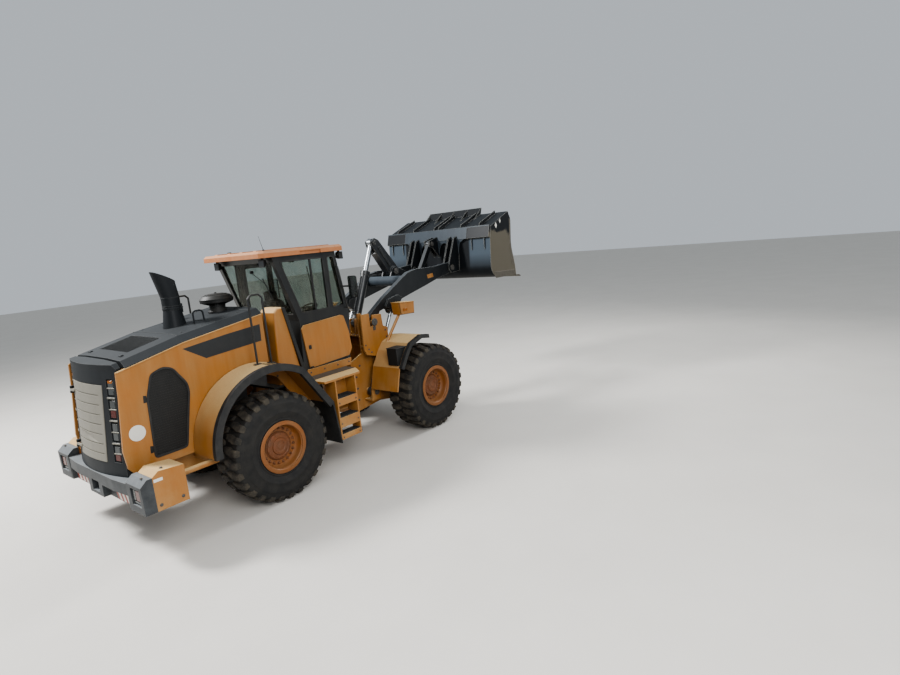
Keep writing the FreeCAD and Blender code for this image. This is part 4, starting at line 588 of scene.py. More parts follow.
def makeHoodParts():
    look, side = hoodLook, hoodLook["side"]
    rims, wires, latches, stripe, lips, sign, grid, fittings = (Shape() for _ in range(8))
    window = rounded(look["window"], 45)
    rims.ringSlab(drawnIn(window, -9), look["rimWidth"], -side - 9, -side + 22)
    rims.both().place("hood_window_rims", "edgeRubber", "hood", bevel=4.0)
    for axis in (1, 0):
        y = -side + (6 if axis else 9)
        level = min(p[axis] for p in window) + look["wirePitch"] * 0.6
        while level < max(p[axis] for p in window) - 8:
            ends = crossings(window, level, axis)
            ends = (ends[0] + 6, ends[-1] - 6)
            wires.rod(*[(end, y, level) if axis else (level, y, end) for end in ends], look["wire"], 5)
            level += look["wirePitch"]
    wires.both().place("hood_window_wires", "blackAbs", "hood")
    for x, z in ((-3012, 1765), (-3040, 1150)):
        latches.sideSlab([(x - 26, z - 44), (x + 14, z - 44), (x + 18, z + 36), (x - 18, z + 44)], -side - 4, -side + 4)
        latches.rod((x - 4, -side - 4.6, z), (x - 4, -side, z), 11, 10)
    latches.both().place("hood_latches", "blackAbs", "hood", bevel=3.0)
    stripe.sideSlab(look["stripe"], -side - 1.2, -side + 1)
    stripe.both().place("hood_stripe", "stripeVinyl", "hood")
    # the folded edge of the yellow sides, which shows as a bright line under the cover
    (x0, z0), (x1, z1), (x2, z2) = look["seam"]
    backEnd = (look["lipBack"], z1 - (x1 - look["lipBack"]) / (x1 - x0) * (z1 - z0))
    section = [(-side - 7, -16), (-side - 7, -3), (-side - 2, 4), (-side + 12, 9), (-side + 12, -16)]
    for ends in ((backEnd, (x1, z1)), ((x1, z1), (x2, z2))):
        lips.prism(*[[(x, y, z + dz) for y, dz in section] for x, z in ends])
    lips.both().place("hood_side_lips", "ochreEnamel", "hood", bevel=2.0)
    x, z = look["signAt"]
    sign.rod((x, -side - 1.5, z), (x, -side + 1, z), look["signRadius"], 48)
    sign.both().place("hood_sign", "whiteVinyl", "hood")
    # the sunk panel in the cover: a close wire grid over the radiator
    back, front, half, pitch, wire = look["grid"].values()
    for y in (-half + k * pitch for k in range(int(2 * half / pitch) + 1)):
        grid.rod((back, y, hoodTop(back, 0) - 5), (front, y, hoodTop(front, 0) - 5), wire, 5)
    for x in (back + k * pitch for k in range(int((front - back) / pitch) + 1)):
        grid.rod((x, -half, hoodTop(x, 0) - 2), (x, half, hoodTop(x, 0) - 2), wire, 5)
    grid.place("hood_grid", "charcoalEnamel", "hood")
    x = -3075
    for y in (-470, 470):
        z = hoodTop(x, y)
        fittings.prism([(x - 24, y - 34, z - 4), (x + 24, y - 34, z + 6), (x + 24, y + 34, z + 6), (x - 24, y + 34, z - 4)],
                       [(x - 16, y - 26, z + 14), (x + 16, y - 26, z + 20), (x + 16, y + 26, z + 20),
                        (x - 16, y + 26, z + 14)])
    # grab loops each side of the stack, the seam strips across the cover, and its bolts
    for y in (-330, 330):
        z = hoodTop(-2000, y)
        loop = [(-2060, -6), (-2060, 120), (-2050, 145), (-2025, 158), (-1965, 160), (-1935, 150), (-1922, 125), (-1915, -2)]
        fittings.tube([(x, y, z + dz) for x, dz in loop], 11)
    for x in (-2452, -1930, -1420):
        ridge = [(y, hoodTop(x, 640 if abs(y) > 300 else 0)) for y in (-640, -300, 300, 640)]
        for ends in zip(ridge, ridge[1:]):
            (ya, za), (yb, zb) = ends
            fittings.prism(*[[(x - w, ya, za + dz), (x + w, ya, za + dz), (x + w, yb, zb + dz), (x - w, yb, zb + dz)]
                             for w, dz in ((9, -3), (6, 5))])
    for x in (-2360, -2080, -1780, -1560):
        for y in (-560, 560):
            fittings.bolt((x, y, hoodTop(x, y) - 2), (0, 0, 1), 10)
    fittings.place("hood_fittings", "charcoalEnamel", "hood", bevel=2.0)


# the stack's clamps (low, high, radius) and slanted mouth, and the bowl of the pre-cleaner
stackLook = {"x": -2165.0, "clamps": ((2698, 2722, 120), (2738, 2748, 119), (2846, 2862, 119)), "mouthX": -2220.0,
             "mouthZ": 3138.0, "mouthLong": 166.0, "mouthWide": 116.0, "bowlX": -1518.0, "vanes": 24,
             "bands": ((2560, 2578, 138), (2640, 2652, 112), (2716, 2738, 226), (2806, 2816, 150))}


def makeStackParts():
    look, x = stackLook, stackLook["x"]
    parts, bowl = Shape(), Shape()
    for low, high, r in look["clamps"]:
        parts.rod((x, 0, low), (x, 0, high), r, 48)
    parts.box((x + 96, -16, 2640), (x + 142, 16, 2760))
    for y in (-16, 16):
        parts.bolt((x + 132, y, 2711), (0, 1 if y > 0 else -1, 0), 11)
    # the rolled lip round the slanted mouth
    parts.tube([(look["mouthX"] + 0.884 * look["mouthLong"] * math.cos(t), look["mouthWide"] * math.sin(t),
                 look["mouthZ"] - 0.468 * look["mouthLong"] * math.cos(t)) for t in turns(48) + [2 * math.pi]], 5, 8)
    parts.place("exhaust_clamps", "charcoalEnamel", "hood", bevel=2.0)
    cx = look["bowlX"]
    for low, high, r in look["bands"]:
        bowl.rod((cx, 0, low), (cx, 0, high), r, 56)
    # vanes between the bowl's neck and its brim, each 6 mm thick
    for t in turns(look["vanes"]):
        c, s = math.cos(t), math.sin(t)
        bowl.prism(*[[(cx + r * c - w * s, r * s + w * c, z) for r, w, z in
                      ((104, 3, inZ), (104, -3, inZ), (r1, -3, outZ), (r1, 3, outZ))]
                     for r1, inZ, outZ in ((196, 2660, 2694), (214, 2702, 2706))])
    bowl.rod((cx, 0, 2828), (cx, 0, 2842), 16, 6)
    bowl.place("pre_cleaner_vanes", "blackAbs", "hood", bevel=1.5)


makeHoodParts()
makeStackParts()
print("hood parts made")

# the back: lamp stacks in the surround's channels
backLook = {"cornerX": -3250.0, "topZ": 2145.0, "lean": 0.0787, "bulge": 110.0, "half": 715.0, "channelY": 590.0,
            "channels": [(1070, 1290), (1315, 1560), (1585, 1830), (1855, 2060)], "redFeet": (1070, 1585),
            "straps": (1302, 1572, 1842)}


def backX(y, z):
    # the bowed, leaning back face
    look = backLook
    return look["cornerX"] - look["bulge"] * (1 - (y / look["half"]) ** 2) - (look["topZ"] - z) * look["lean"]


def makeBackParts():
    look, y0 = backLook, backLook["channelY"]
    housings, brackets, clear, red, amber = (Shape() for _ in range(5))

    def block(shape, low, high, halfY, sunk, proud):
        # a block between two heights whose back follows the leaning face
        corners = ((y0 - halfY, low), (y0 + halfY, low), (y0 + halfY, high), (y0 - halfY, high))
        shape.prism(*[[(backX(y, z) - depth, -y, z) for y, z in corners] for depth in (sunk, proud)])

    for low, high in look["channels"]:
        block(housings, low + 8, high - 8, 60, -38, -22)
        middle = (low + high) / 2
        for lens, a, b in ((red if low in look["redFeet"] else clear, low + 22, middle - 12),
                           (clear, middle + 8, high - 22)):
            block(housings, a - 6, b + 6, 50, -30, -8)
            block(lens, a, b, 42, -20, -2)
        block(brackets, middle - 9, middle + 5, 62, -30, 0)
    for z in look["straps"]:
        block(brackets, z - 9, z + 9, 66, -12, 6)
    block(amber, 2012, 2046, 38, -20, 0)
    for shape, name, finish, bevel in (
            (housings, "housings", "blackAbs", 3.0), (brackets, "brackets", "zincPlate", 2.0),
            (clear, "clear", "smokedLens", 5.0), (red, "red", "redLens", 5.0), (amber, "amber", "amberLens", 4.0)):
        shape.both().place("rear_lamp_" + name, finish, "rear_body", bevel=bevel)


# counterweight: reflector boards, left bare of words but for their slanted bars, corner lamps, bolts and tow pin
weightLook = {"boardX": -3396.5, "boardLow": 614.0, "boardHigh": 752.0, "boards": (-868.0, 402.0), "bars": 7,
              "barWidth": 58, "lampX": -3405.0, "pinX": -3400}


def makeWeightParts():
    look = weightLook
    white, red, lamps, redLens, clearLens, bolts, plate, pin = (Shape() for _ in range(8))
    x, low, high, width = look["boardX"], look["boardLow"], look["boardHigh"], look["barWidth"]
    lean = (high - low) / 2
    for start in look["boards"]:
        for i in range(look["bars"]):
            y0, y1 = start + i * width, start + (i + 1) * width
            (white if i % 2 else red).prism(*[[(x - out, y0, low), (x - out, y1, low), (x - out, y1 + lean, high),
                                               (x - out, y0 + lean, high)] for out in (0, 4)])
    white.place("bumper_strip_white", "whiteVinyl", "rear_body")
    red.place("bumper_strip_red", "redVinyl", "rear_body")
    x = look["lampX"]
    lamps.box((x - 12, -1222, 698), (x, -1008, 882))
    lamps.ringSlab([(x - 30, 698), (x, 698), (x, 882), (x - 30, 882)], 6, -1222, -1214)
    redLens.box((x - 30, -1214, 742), (x - 6, -1092, 872))
    clearLens.box((x - 26, -1210, 706), (x - 6, -1020, 734))
    clearLens.box((x - 28, -1082, 742), (x - 6, -1020, 872))
    for x, z in ((-3012, 667), (-3262, 664)):
        bolts.bolt((x, -1290, z), (0, -1, 0), 15)
    bolts.bolt((-3167, -1210, 1051), (0, 0, 1), 15)
    bolts.bolt((-3380, -1180, 1000), (0, 0, 1), 13)
    plate.box((-3300, -1291.5, 940), (-3200, -1289, 975))
    for shape, name, finish, bevel in (
            (lamps, "corner_lamp_cases", "blackAbs", 2.0), (redLens, "corner_lamp_red", "redLens", 8.0),
            (clearLens, "corner_lamp_clear", "smokedLens", 6.0), (bolts, "weight_bolts", "castIron", 1.5),
            (plate, "weight_blank_plates", "whiteVinyl", 0.0)):
        shape.both().place(name, finish, "rear_body", bevel=bevel)
    x = look["pinX"]
    pin.rod((x, 0, 596), (x, 0, 912), 25, 32)
    pin.rod((x, 0, 905), (x, 0, 920), 40, 32)
    loop = [(-14, 915), (-24, 950), (-14, 978), (14, 978), (24, 950), (14, 915)]
    pin.tube([(x, y, z) for y, z in loop], 6)
    pin.place("tow_pin", "scouredSteel", "rear_body", bevel=2.0)


makeBackParts()
makeWeightParts()
print("back and counterweight made")

# rear fenders: anti-slip strips and rail feet on the crown
fenderLook = {"x": -1640.0, "z": 960.0, "radius": 915.0, "strips": [86.5, 82.0, 77.5, 73.0], "railFeet": (-1640, -1430),
              "bolts": ((-2237, 1348), (-2390, 1120), (-2050, 1560), (-1640, 1760), (-1230, 1600))}


def makeFenderParts():
    look = fenderLook
    strips, feet, bolts = Shape(), Shape(), Shape()
    for angle in look["strips"]:
        corners = ((angle - 0.9, -1232), (angle + 0.9, -1232), (angle + 0.9, -1020), (angle - 0.9, -1020))
        strips.prism(*[[(look["x"] + r * math.cos(math.radians(a)), y, look["z"] + r * math.sin(math.radians(a)))
                        for a, y in corners] for r in (look["radius"] - 2, look["radius"] + 3)])
    strips.both().place("fender_grip_strips", "edgeRubber", "rear_body")
    for x in look["railFeet"]:
        t = math.acos((x - look["x"]) / look["radius"])
        out, along = Vector((math.cos(t), 0, math.sin(t))), Vector((-math.sin(t), 0, math.cos(t)))
        centre = Vector((x, -1000, look["z"] + look["radius"] * math.sin(t)))
        ring = [centre + along * a + Vector((0, b, 0)) for a, b in ((-48, -30), (48, -30), (48, 30), (-48, 30))]
        feet.prism([p - out * 2 for p in ring], [p + out * 9 for p in ring])
        for a in (-34, 34):
            feet.bolt(centre + along * a + out * 9, out, 9)
    feet.both().place("rail_feet", "cabEnamel", "rear_body", bevel=1.5)
    for x, z in look["bolts"]:
        bolts.bolt((x, -790, z), (0, -1, 0), 12)
    for side in (-1, 1):
        for z in (845, 940, 1030):
            bolts.bolt((-685, side * 1200, z), (-1, 0, 0), 10)
    bolts.both().place("fender_bolts", "castIron", "rear_body")


makeFenderParts()
print("fender parts made")

# cab: rubber seals, wipers, grab bars, lamps, mirrors and the driver's place
frontPane = [(-60, 2400), (185, 2400), (75, 3185), (-60, 3185)]
cabLook = {"side": 750.0, "sealWidth": 22.0, "roundings": 40,
           "rightWindows": [[(-640, 2400), (-130, 2400), (-130, 3185), (-905, 3185)], frontPane],
           "leftWindows": [frontPane, [(-700, 2420), (-700, 3185), (-915, 3185)]],
           "doorPanes": [[(-560, 2350), (-130, 2350), (-130, 3115), (-560, 3115)],
                         [(-560, 1720), (-130, 1720), (-130, 2240), (-560, 2240)]],
           "doorEdge": [(-632, 1608), (-68, 1608), (-68, 3177), (-632, 3177)]}


def cabBackX(z):
    return -705 - (z - 2290) / 965 * 317


def cabFrontX(z):
    return 258 - (z - 2290) / 965 * 148 if z > 2290 else 258 - (2290 - z) / 790 * 98


def makeCabParts():
    look, side = cabLook, cabLook["side"]
    seals, bars, doorSeals, handle, grabs, wiper, latch, bolts, whip = (Shape() for _ in range(9))
    for shape, outlines, y in ((seals, look["rightWindows"], -side - 4), (seals, look["leftWindows"], side - 14),
                               (doorSeals, look["doorPanes"], side - 14)):
        for outline in outlines:
            shape.ringSlab(drawnIn(rounded(outline, look["roundings"]), -8), look["sealWidth"], y, y + 18)
    seals.place("cab_seals", "edgeRubber", "rear_body", bevel=2.5)
    # the sliding pane's middle bar
    bars.sideSlab([(-385, 2405), (-355, 2405), (-355, 3180), (-385, 3180)], -side + 4, -side + 26)
    bars.place("cab_pane_bar", "blackAbs", "rear_body", bevel=3.0)
    doorSeals.ringSlab(rounded(look["doorEdge"], 30), 14, side - 6, side + 3)
    doorSeals.place("door_seals", "edgeRubber", "cab_door", bevel=2.5)
    handle.box((-130, side, 2262), (-82, side + 12, 2330))
    short = [(-118, 6), (-118, 36), (-128, 44), (-260, 44), (-270, 36), (-270, 2)]
    handle.tube([(x, side + out, 2300) for x, out in short], 9)
    upright = [(2, 2380), (40, 2380), (48, 2400), (48, 2960), (40, 2980), (2, 2980)]
    handle.tube([(-600, side + out, z) for out, z in upright], 11)
    handle.place("door_handles", "blackAbs", "cab_door", bevel=1.5)
    # the long black bar that slants down beside the tank, and the rails on the front posts
    grabs.sideSlab([(-985, 2535), (-935, 2535), (-735, 1605), (-785, 1605)], -side - 20, -side + 4)
    for flip in (-1, 1):
        grabs.tube([(cabFrontX(z) - 45, flip * (side + out), z) for out, z in
                    ((-2, 2360), (34, 2360), (42, 2376), (42, 3004), (34, 3020), (-2, 3020))], 12)
    grabs.place("cab_grab_bars", "cabEnamel", "rear_body", bevel=1.0)

    def blade(top, low, out):
        wiper.prism(*[[p + Vector((depth, w, 0)) for p, w in ((top, -half), (top, half), (low, half), (low, -half))]
                      for depth, half in ((0, 5), (out, 3))])

    # wipers on the rear and front panes: motor case, arm and blade
    pivot, tip = Vector((cabBackX(3060) - 4, -120, 3060)), Vector((cabBackX(2830) - 16, -400, 2830))
    wiper.rod(pivot + Vector((14, 0, 0)), pivot - Vector((26, 0, 0)), 22, 20)
    wiper.rod(pivot - Vector((18, 0, 0)), tip, 6, 8, 4)
    blade(Vector((cabBackX(2960) - 8, -330, 2960)), Vector((cabBackX(2640) - 8, -360, 2640)), -14)
    pivot, tip = Vector((cabFrontX(2380) + 4, 120, 2380)), Vector((cabFrontX(2860) + 12, 40, 2860))
    wiper.rod(pivot - Vector((20, 0, 0)), pivot + Vector((24, 0, 0)), 20, 20)
    wiper.rod(pivot + Vector((16, 0, 0)), tip, 6, 8, 4)
    blade(Vector((cabFrontX(3050) + 4, 39, 3050)), Vector((cabFrontX(2620) + 4, 49, 2620)), 14)
    wiper.place("wipers", "blackAbs", "rear_body")
    # fittings on the yellow cover and skirts: a sunk black latch, hinge straps and bolts
    latch.sideSlab(rounded([(-622, 1850), (-574, 1850), (-574, 1912), (-622, 1912)], 8), -side - 30, -side - 22)
    latch.rod((-598, -side - 33, 1881), (-598, -side - 22, 1881), 13, 16)
    for x in (-640, 60):
        latch.sideSlab([(x, 1572), (x + 60, 1572), (x + 60, 1590), (x, 1590)], -side - 34, -side - 20)
    latch.place("cab_cover_latch", "blackAbs", "rear_body", bevel=2.0)
    for flip, places in ((-1, (-640, -380, -120, 110)), (1, (-620, -320, 80))):
        for x in places:
            bolts.bolt((x, flip * (side + 18), 1500), (0, flip, 0), 10)
    bolts.place("cab_skirt_bolts", "castIron", "rear_body")
    # roof: short whip aerial with its foot, and a round cap
    whip.rod((-1090, -690, 3346), (-1094, -691, 3372), 20, 20, 12)
    whip.rod((-1094, -691, 3370), (-1150, -704, 3560), 3.5, 8, 2)
    whip.rod((-900, 520, 3352), (-900, 520, 3384), 34, 24, 28)
    whip.place("roof_aerial", "blackAbs", "rear_body", bevel=1.0)


# work lamps under the roof: (x, y, which way they look)
lampLook = {"lamps": ((285, 640, 1), (-1075, 600, -1)), "low": 3122, "high": 3240, "stayTop": 3256}


def makeWorkLamps():
    cases, lenses = Shape(), Shape()
    low, high = lampLook["low"], lampLook["high"]
    for x, y, way in lampLook["lamps"]:
        back, front, lens = x - way * 34, x + way * 26, x + way * 34
        cases.prism(rectAcross(back, y - 44, y + 44, low + 22, high - 14), rectAcross(front, y - 68, y + 68, low, high))
        cases.box((x - 16, y - 14, high - 8), (x + 14, y + 14, lampLook["stayTop"]))
        lenses.prism(rectAcross(front, y - 60, y + 60, low + 8, high - 8),
                     rectAcross(lens, y - 54, y + 54, low + 14, high - 14))
    cases.both().place("work_lamp_cases", "blackAbs", "rear_body", bevel=5.0, replaces=["roof_lamps"])
    lenses.both().place("work_lamp_lenses", "smokedLens", "rear_body", bevel=3.0, replaces=["roof_lamps"])


# mirrors: a rounded case open to the rear, the glass in it, and the bent arm from the post
mirrorLook = {"outline": [(920, 2520), (1120, 2520), (1120, 2860), (920, 2860)], "back": 178, "front": 158, "armZ": 2700}


def makeMirrors():
    look, side, z = mirrorLook, cabLook["side"], mirrorLook["armZ"]
    cases, faces, arms = Shape(), Shape(), Shape()
    outline = rounded(look["outline"], 38)
    for shape, layers in ((cases, ((look["front"], outline), (look["back"], drawnIn(outline, 6)))),
                          (faces, ((look["front"] - 1.5, drawnIn(outline, 10)), (look["front"] + 1, drawnIn(outline, 10))))):
        shape.prism(*[[(x, -y, h) for y, h in layer] for x, layer in layers])
    arms.tube([(165, -side - 1, z), (168, -820, z), (172, -900, z), (174, -945, z)], 13)
    arms.rod((165, -side, z), (165, -side - 10, z), 30, 20)
    for shape, name, finish, bevel in ((cases, "mirror_cases", "blackAbs", 6.0), (faces, "mirror_faces", "mirrorGlass", 0.0),
                                       (arms, "mirror_arms", "cabEnamel", 1.0)):
        shape.both().place(name, finish, "rear_body", bevel=bevel, replaces=["mirrors"])


# the seat's cushions are blown up from a coarse cage: crowned, with a waist between the bolsters
seatLook = {"base": 1555.0, "crown": 0.16, "cushions": {
    # name: middle ahead and above the floor, size, lean in degrees
    "seat_cushion": (-355, 405, (470, 500, 120), -3), "seat_back": (-575, 770, (120, 480, 600), -8),
    "seat_headrest": (-628, 1115, (90, 260, 150), -8)}}


def puffed(name, centre, size, lean):
    # a closed cushion: a grid over a rounded box whose faces swell towards their middles and pull in at the corners
    mesh = bpy.data.meshes.new(name)
    work = bmesh.new()
    bmesh.ops.create_cube(work, size=2)
    bmesh.ops.subdivide_edges(work, edges=work.edges[:], cuts=9, use_grid_fill=True)
    turn = Matrix.Rotation(math.radians(lean), 3, "Y")
    thin = min(size)
    axis = size.index(thin)
    for vert in work.verts:
        x, y, z = vert.co
        nx, ny, nz = (1 - abs(v) ** 4 for v in (x, y, z))
        # corners round off, and each face is crowned by how far it lies from its edges
        p = Vector((x * (0.93 + 0.07 * ny * nz), y * (0.93 + 0.07 * nx * nz), z * (0.84 + 0.16 * nx * ny)))
        p = Vector([v * length / 2 for v, length in zip(p, size)])
        other = [v for i, v in enumerate((x, y, z)) if i != axis]
        swell = (1 - other[0] ** 2) * (1 - other[1] ** 2)
        sewn = -0.045 * math.exp(-((abs(y) - 0.58) / 0.05) ** 2) * thin * 2
        p[axis] += (1 if (x, y, z)[axis] > 0 else -1) * (swell * seatLook["crown"] * thin + sewn)
        vert.co = at(*(Vector(centre) + turn @ p))
    work.to_mesh(mesh)
    work.free()
    mesh.materials.append(finishes["darkWeave"])
    piece = bpy.data.objects.new(name, mesh)
    bpy.context.collection.objects.link(piece)
    for polygon in mesh.polygons:
        polygon.use_smooth = True
    smoother = piece.modifiers.new("smoother", "SUBSURF")
    smoother.levels = smoother.render_levels = 1
    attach(piece, "rear_body")
    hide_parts("cab_interior")


def makeDriverPlace():
    base = seatLook["base"]
    for name, (x, z, size, lean) in seatLook["cushions"].items():
        puffed(name, (x, 0, base + z), size, lean)
    parts = Shape()

    def slab(outline, y0, y1, corner=0):
        # side outlines measured from the cab's floor
        raised = [(x, base + z) for x, z in outline]
        parts.sideSlab(rounded(raised, corner) if corner else raised, y0, y1)

    slab([(-560, 0), (-180, 0), (-200, 60), (-540, 60)], -190, 190)
    # the bellows under the seat
    for k in range(5):
        z = base + 60 + k * 52
        narrow, wide = (-530, -210, -165, 165), (-550, -190, -185, 185)
        parts.prism(rect(z, *narrow), rect(z + 26, *wide))
        parts.prism(rect(z + 26, *wide), rect(z + 52, *narrow))
    slab([(-600, 320), (-130, 320), (-120, 350), (-610, 350)], -240, 240)
    slab([(-610, 340), (-570, 340), (-650, 1030), (-690, 1030)], -200, 200)
    for y in (-80, 80):
        parts.rod((-640, y, base + 1020), (-640, y, base + 1080), 9, 10)
    for y in (-285, 255):
        slab([(-560, 600), (-200, 590), (-200, 640), (-560, 650)], y, y + 55, 20)
    # right console with its levers, and the post of the steering wheel with the dash
    slab([(-450, 0), (0, 0), (0, 540), (-60, 620), (-450, 620)], -600, -330, 30)
    for x in (-110, -190, -270):
        parts.rod((x, -440, base + 600), (x - 15, -440, base + 720), 9, 10, 6)
        parts.rod((x - 16, -440, base + 712), (x - 20, -440, base + 752), 19, 14, 15)
    slab([(15, 0), (95, 0), (40, 760), (-20, 745)], -55, 55)
    slab([(40, 560), (120, 620), (60, 850), (20, 840)], -150, 150, 20)
    # steering wheel: a round-section ring on three spokes, tilted to the driver
    tilt = Matrix.Rotation(math.radians(-24), 3, "Y")
    hubAt = Vector((0, 0, base + 800))
    parts.tube([hubAt + tilt @ Vector((190 * math.cos(t), 190 * math.sin(t), 0)) for t in turns(36) + [2 * math.pi]],
               14, 10)
    for t in (0.5 * math.pi, 1.5 * math.pi, math.pi):
        parts.rod(hubAt, hubAt + tilt @ Vector((186 * math.cos(t), 186 * math.sin(t), 0)), 11, 10, 9)
    parts.rod(hubAt - tilt @ Vector((0, 0, 30)), hubAt + tilt @ Vector((0, 0, 18)), 46, 24, 38)
    parts.rod(Vector((25, 0, base + 730)), hubAt, 24, 14)
    parts.place("driver_place", "blackAbs", "rear_body", bevel=3.0, replaces=["cab_interior"])


makeCabParts()
makeWorkLamps()
makeMirrors()
makeDriverPlace()
print("cab parts made")

# steps: ridged black pads on each tread (height, inner end), and the bolts of the stair's plates
stepLook = {"treads": [(1130, 1070), (840, 1090), (590, 1150)], "x": (-628, -258), "outer": 1284.0, "ridges": 20}


def makeStepParts():
    pads, bolts = Shape(), Shape()
    x0, x1 = stepLook["x"]
    for z, inner in stepLook["treads"]:
        pads.box((x0, -stepLook["outer"], z - 1), (x1, -inner, z + 7))
        y = -stepLook["outer"] + 8
        while y < -inner - 8:
            pads.prism(rect(z + 6, x0 + 10, x1 - 10, y, y + 9), rect(z + 13, x0 + 12, x1 - 12, y + 2, y + 7))
            y += stepLook["ridges"]
    pads.both().place("step_pads", "edgeRubber", "rear_body")
    for x in (-600, -285):
        for z in (1062, 750, 545):
            bolts.bolt((x, -1290, z), (0, -1, 0), 9)
    bolts.both().place("step_bolts", "castIron", "rear_body")


makeStepParts()
print("steps made")

# front frame: pin caps, plates and bolts, fender box, head lamps
frontLook = {"armPin": (880, 2000), "liftPin": (760, 800), "outer": 640.0,
             "towerBolts": ((640, 1640), (700, 1560), (1150, 1700), (1130, 1820), (760, 1500), (900, 1450)),
             "frameBolts": ((520, 700), (520, 900), (520, 1100), (620, 1280), (1900, 760), (1980, 640), (1760, 900),
                            (1330, 1120), (1380, 640)),
             "lampHouse": [(1255, 2275), (1632, 2245), (1618, 2042), (1286, 2057)]}


def pinCap(shape, pin, y, radius, bolts=4):
    # a round retaining cap on the right side, with its ring of bolts and a grease nipple
    x, z = pin
    shape.rod((x, y, z), (x, y - 12, z), radius, 40, radius - 3)
    shape.rod((x, y - 12, z), (x, y - 18, z), radius * 0.45, 28, radius * 0.4)
    for t in turns(bolts, 0.5):
        shape.bolt((x + radius * 0.72 * math.cos(t), y - 12, z + radius * 0.72 * math.sin(t)), (0, -1, 0), radius * 0.13)
    shape.rod((x, y - 18, z), (x, y - 27, z), 4.5, 6, 3)


def makeFrontParts():
    look = frontLook
    caps, bolts, box, shell, lens, amber, bucket = (Shape() for _ in range(7))
    pinCap(caps, look["armPin"], -look["outer"], 66)
    pinCap(caps, look["liftPin"], -630, 50, 3)
    # the keeper plate under the arm's pin
    caps.sideSlab([(850, 1860), (910, 1860), (905, 1925), (855, 1925)], -628, -618)
    for places, y, size in ((look["towerBolts"], -620, 11), (look["frameBolts"], -420, 14)):
        for x, z in places:
            bolts.bolt((x, y, z), (0, -1, 0), size)
    caps.both().place("frame_pin_caps", "castIron", "front_body", bevel=2.0)
    bolts.both().place("frame_bolts", "castIron", "front_body")
    box.sideSlab([(728, 1586), (968, 1586), (902, 1498), (774, 1302), (738, 1302)], -1232, -1010)
    box.sideSlab([(722, 1592), (976, 1592), (972, 1576), (722, 1576)], -1238, -1004)
    box.both().place("fender_boxes", "blackAbs", "front_body", bevel=6.0)
    # head lamps: a folded yellow house open to the front, lens and indicator, the post and its dark bucket
    backTop, frontTop, frontLow, backLow = look["lampHouse"]

    def down(point, drop, ahead=0):
        return point[0] + ahead, point[1] - drop

    shell.sideSlab([down(backTop, -6, -8), down(frontTop, -6), down(frontTop, 8), down(backTop, 8, 2)], -908, -692)
    shell.sideSlab([down(backLow, -12), down(frontLow, -12), frontLow, backLow], -900, -700)
    for y in (-900, -712):
        shell.sideSlab(look["lampHouse"], y, y + 12)
    shell.sideSlab([backTop, down(backTop, 1, 14), down(backLow, 0, 14), backLow], -900, -700)
    shell.rod((1010, -700, 1560), (1365, -790, 2090), 26, 24)
    shell.sideSlab([(980, 1500), (1060, 1500), (1060, 1600), (1010, 1610)], -735, -615)
    lens.prism([(1590, -886, 2060), (1590, -714, 2060), (1598, -714, 2232), (1598, -886, 2232)],
               [(1606, -880, 2068), (1606, -720, 2068), (1614, -720, 2226), (1614, -880, 2226)])
    amber.box((1340, -909, 2112), (1440, -899, 2160))
    bucket.box((1330, -886, 2066), (1592, -714, 2228))
    for shape, name, finish, bevel in (
            (shell, "shells", "ochreEnamel", 3.0), (lens, "lenses", "lampPolycarbonate", 6.0),
            (amber, "indicators", "amberLens", 4.0), (bucket, "buckets", "blackAbs", 4.0)):
        shape.both().place("head_lamp_" + name, finish, "front_body", bevel=bevel, replaces=["head_lamps"])


makeFrontParts()
print("front frame parts made")

# lift arms: caps on every pin, the cross tube's dusty sleeve, steel oil pipes and their clips
armLook = {"y": 505.0, "half": 45.0, "bucketPin": (3190, 2700), "bell": (2050, 2760), "tube": (1935, 2590),
           "liftEye": (1446, 2130), "bellTop": (1625, 3330), "bellLow": (2750, 2480), "link": (3250, 3190),
           # (x, z, how much of the spacing is left) along the pipes
           "pipes": [(1180, 2235, 1), (1330, 2330, 1), (1520, 2412, 1), (1700, 2520, 1), (1830, 2640, 0.6),
                     (2000, 2700, 0.5), (2240, 2690, 0.5)], "pipeGap": 34, "clips": ((1290, 2322), (1620, 2486), (2120, 2704))}


def makeArmParts():
    look = armLook
    outer = look["y"] + look["half"]
    caps, pipes, sleeve, plate = (Shape() for _ in range(4))
    pinCap(caps, look["liftEye"], -585, 52, 3)
    pinCap(caps, look["bell"], -140, 58)
    caps.both().place("arm_pin_caps", "castIron", "lift_arms", bevel=1.5)
    x, z = look["tube"]
    sleeve.turned([(92.5, -452), (92.5, 452), (84, 452), (84, -452)], (x, 0, z), 48)
    sleeve.place("cross_tube_sleeve", "dustyBlueEnamel", "lift_arms", smooth=True)
    # two oil pipes run up the inside of each arm and over the cross tube
    y = -look["y"] + look["half"] + 16
    for lift in (0, look["pipeGap"]):
        pipes.tube([(x, y, z + lift * share) for x, z, share in look["pipes"]], 11, 10)
    for x, z in look["clips"]:
        pipes.box((x - 16, y - 18, z - 26), (x + 16, y + 14, z + 46))
    pipes.both().place("arm_oil_pipes", "charcoalEnamel", "lift_arms", bevel=1.0)
    # a bare yellow plate beyond the middle of each arm
    plate.sideSlab([(2470, 2560), (2640, 2575), (2625, 2650), (2455, 2635)], -outer - 1.5, -outer + 1)
    plate.both().place("arm_blank_plates", "ochreEnamel", "lift_arms")


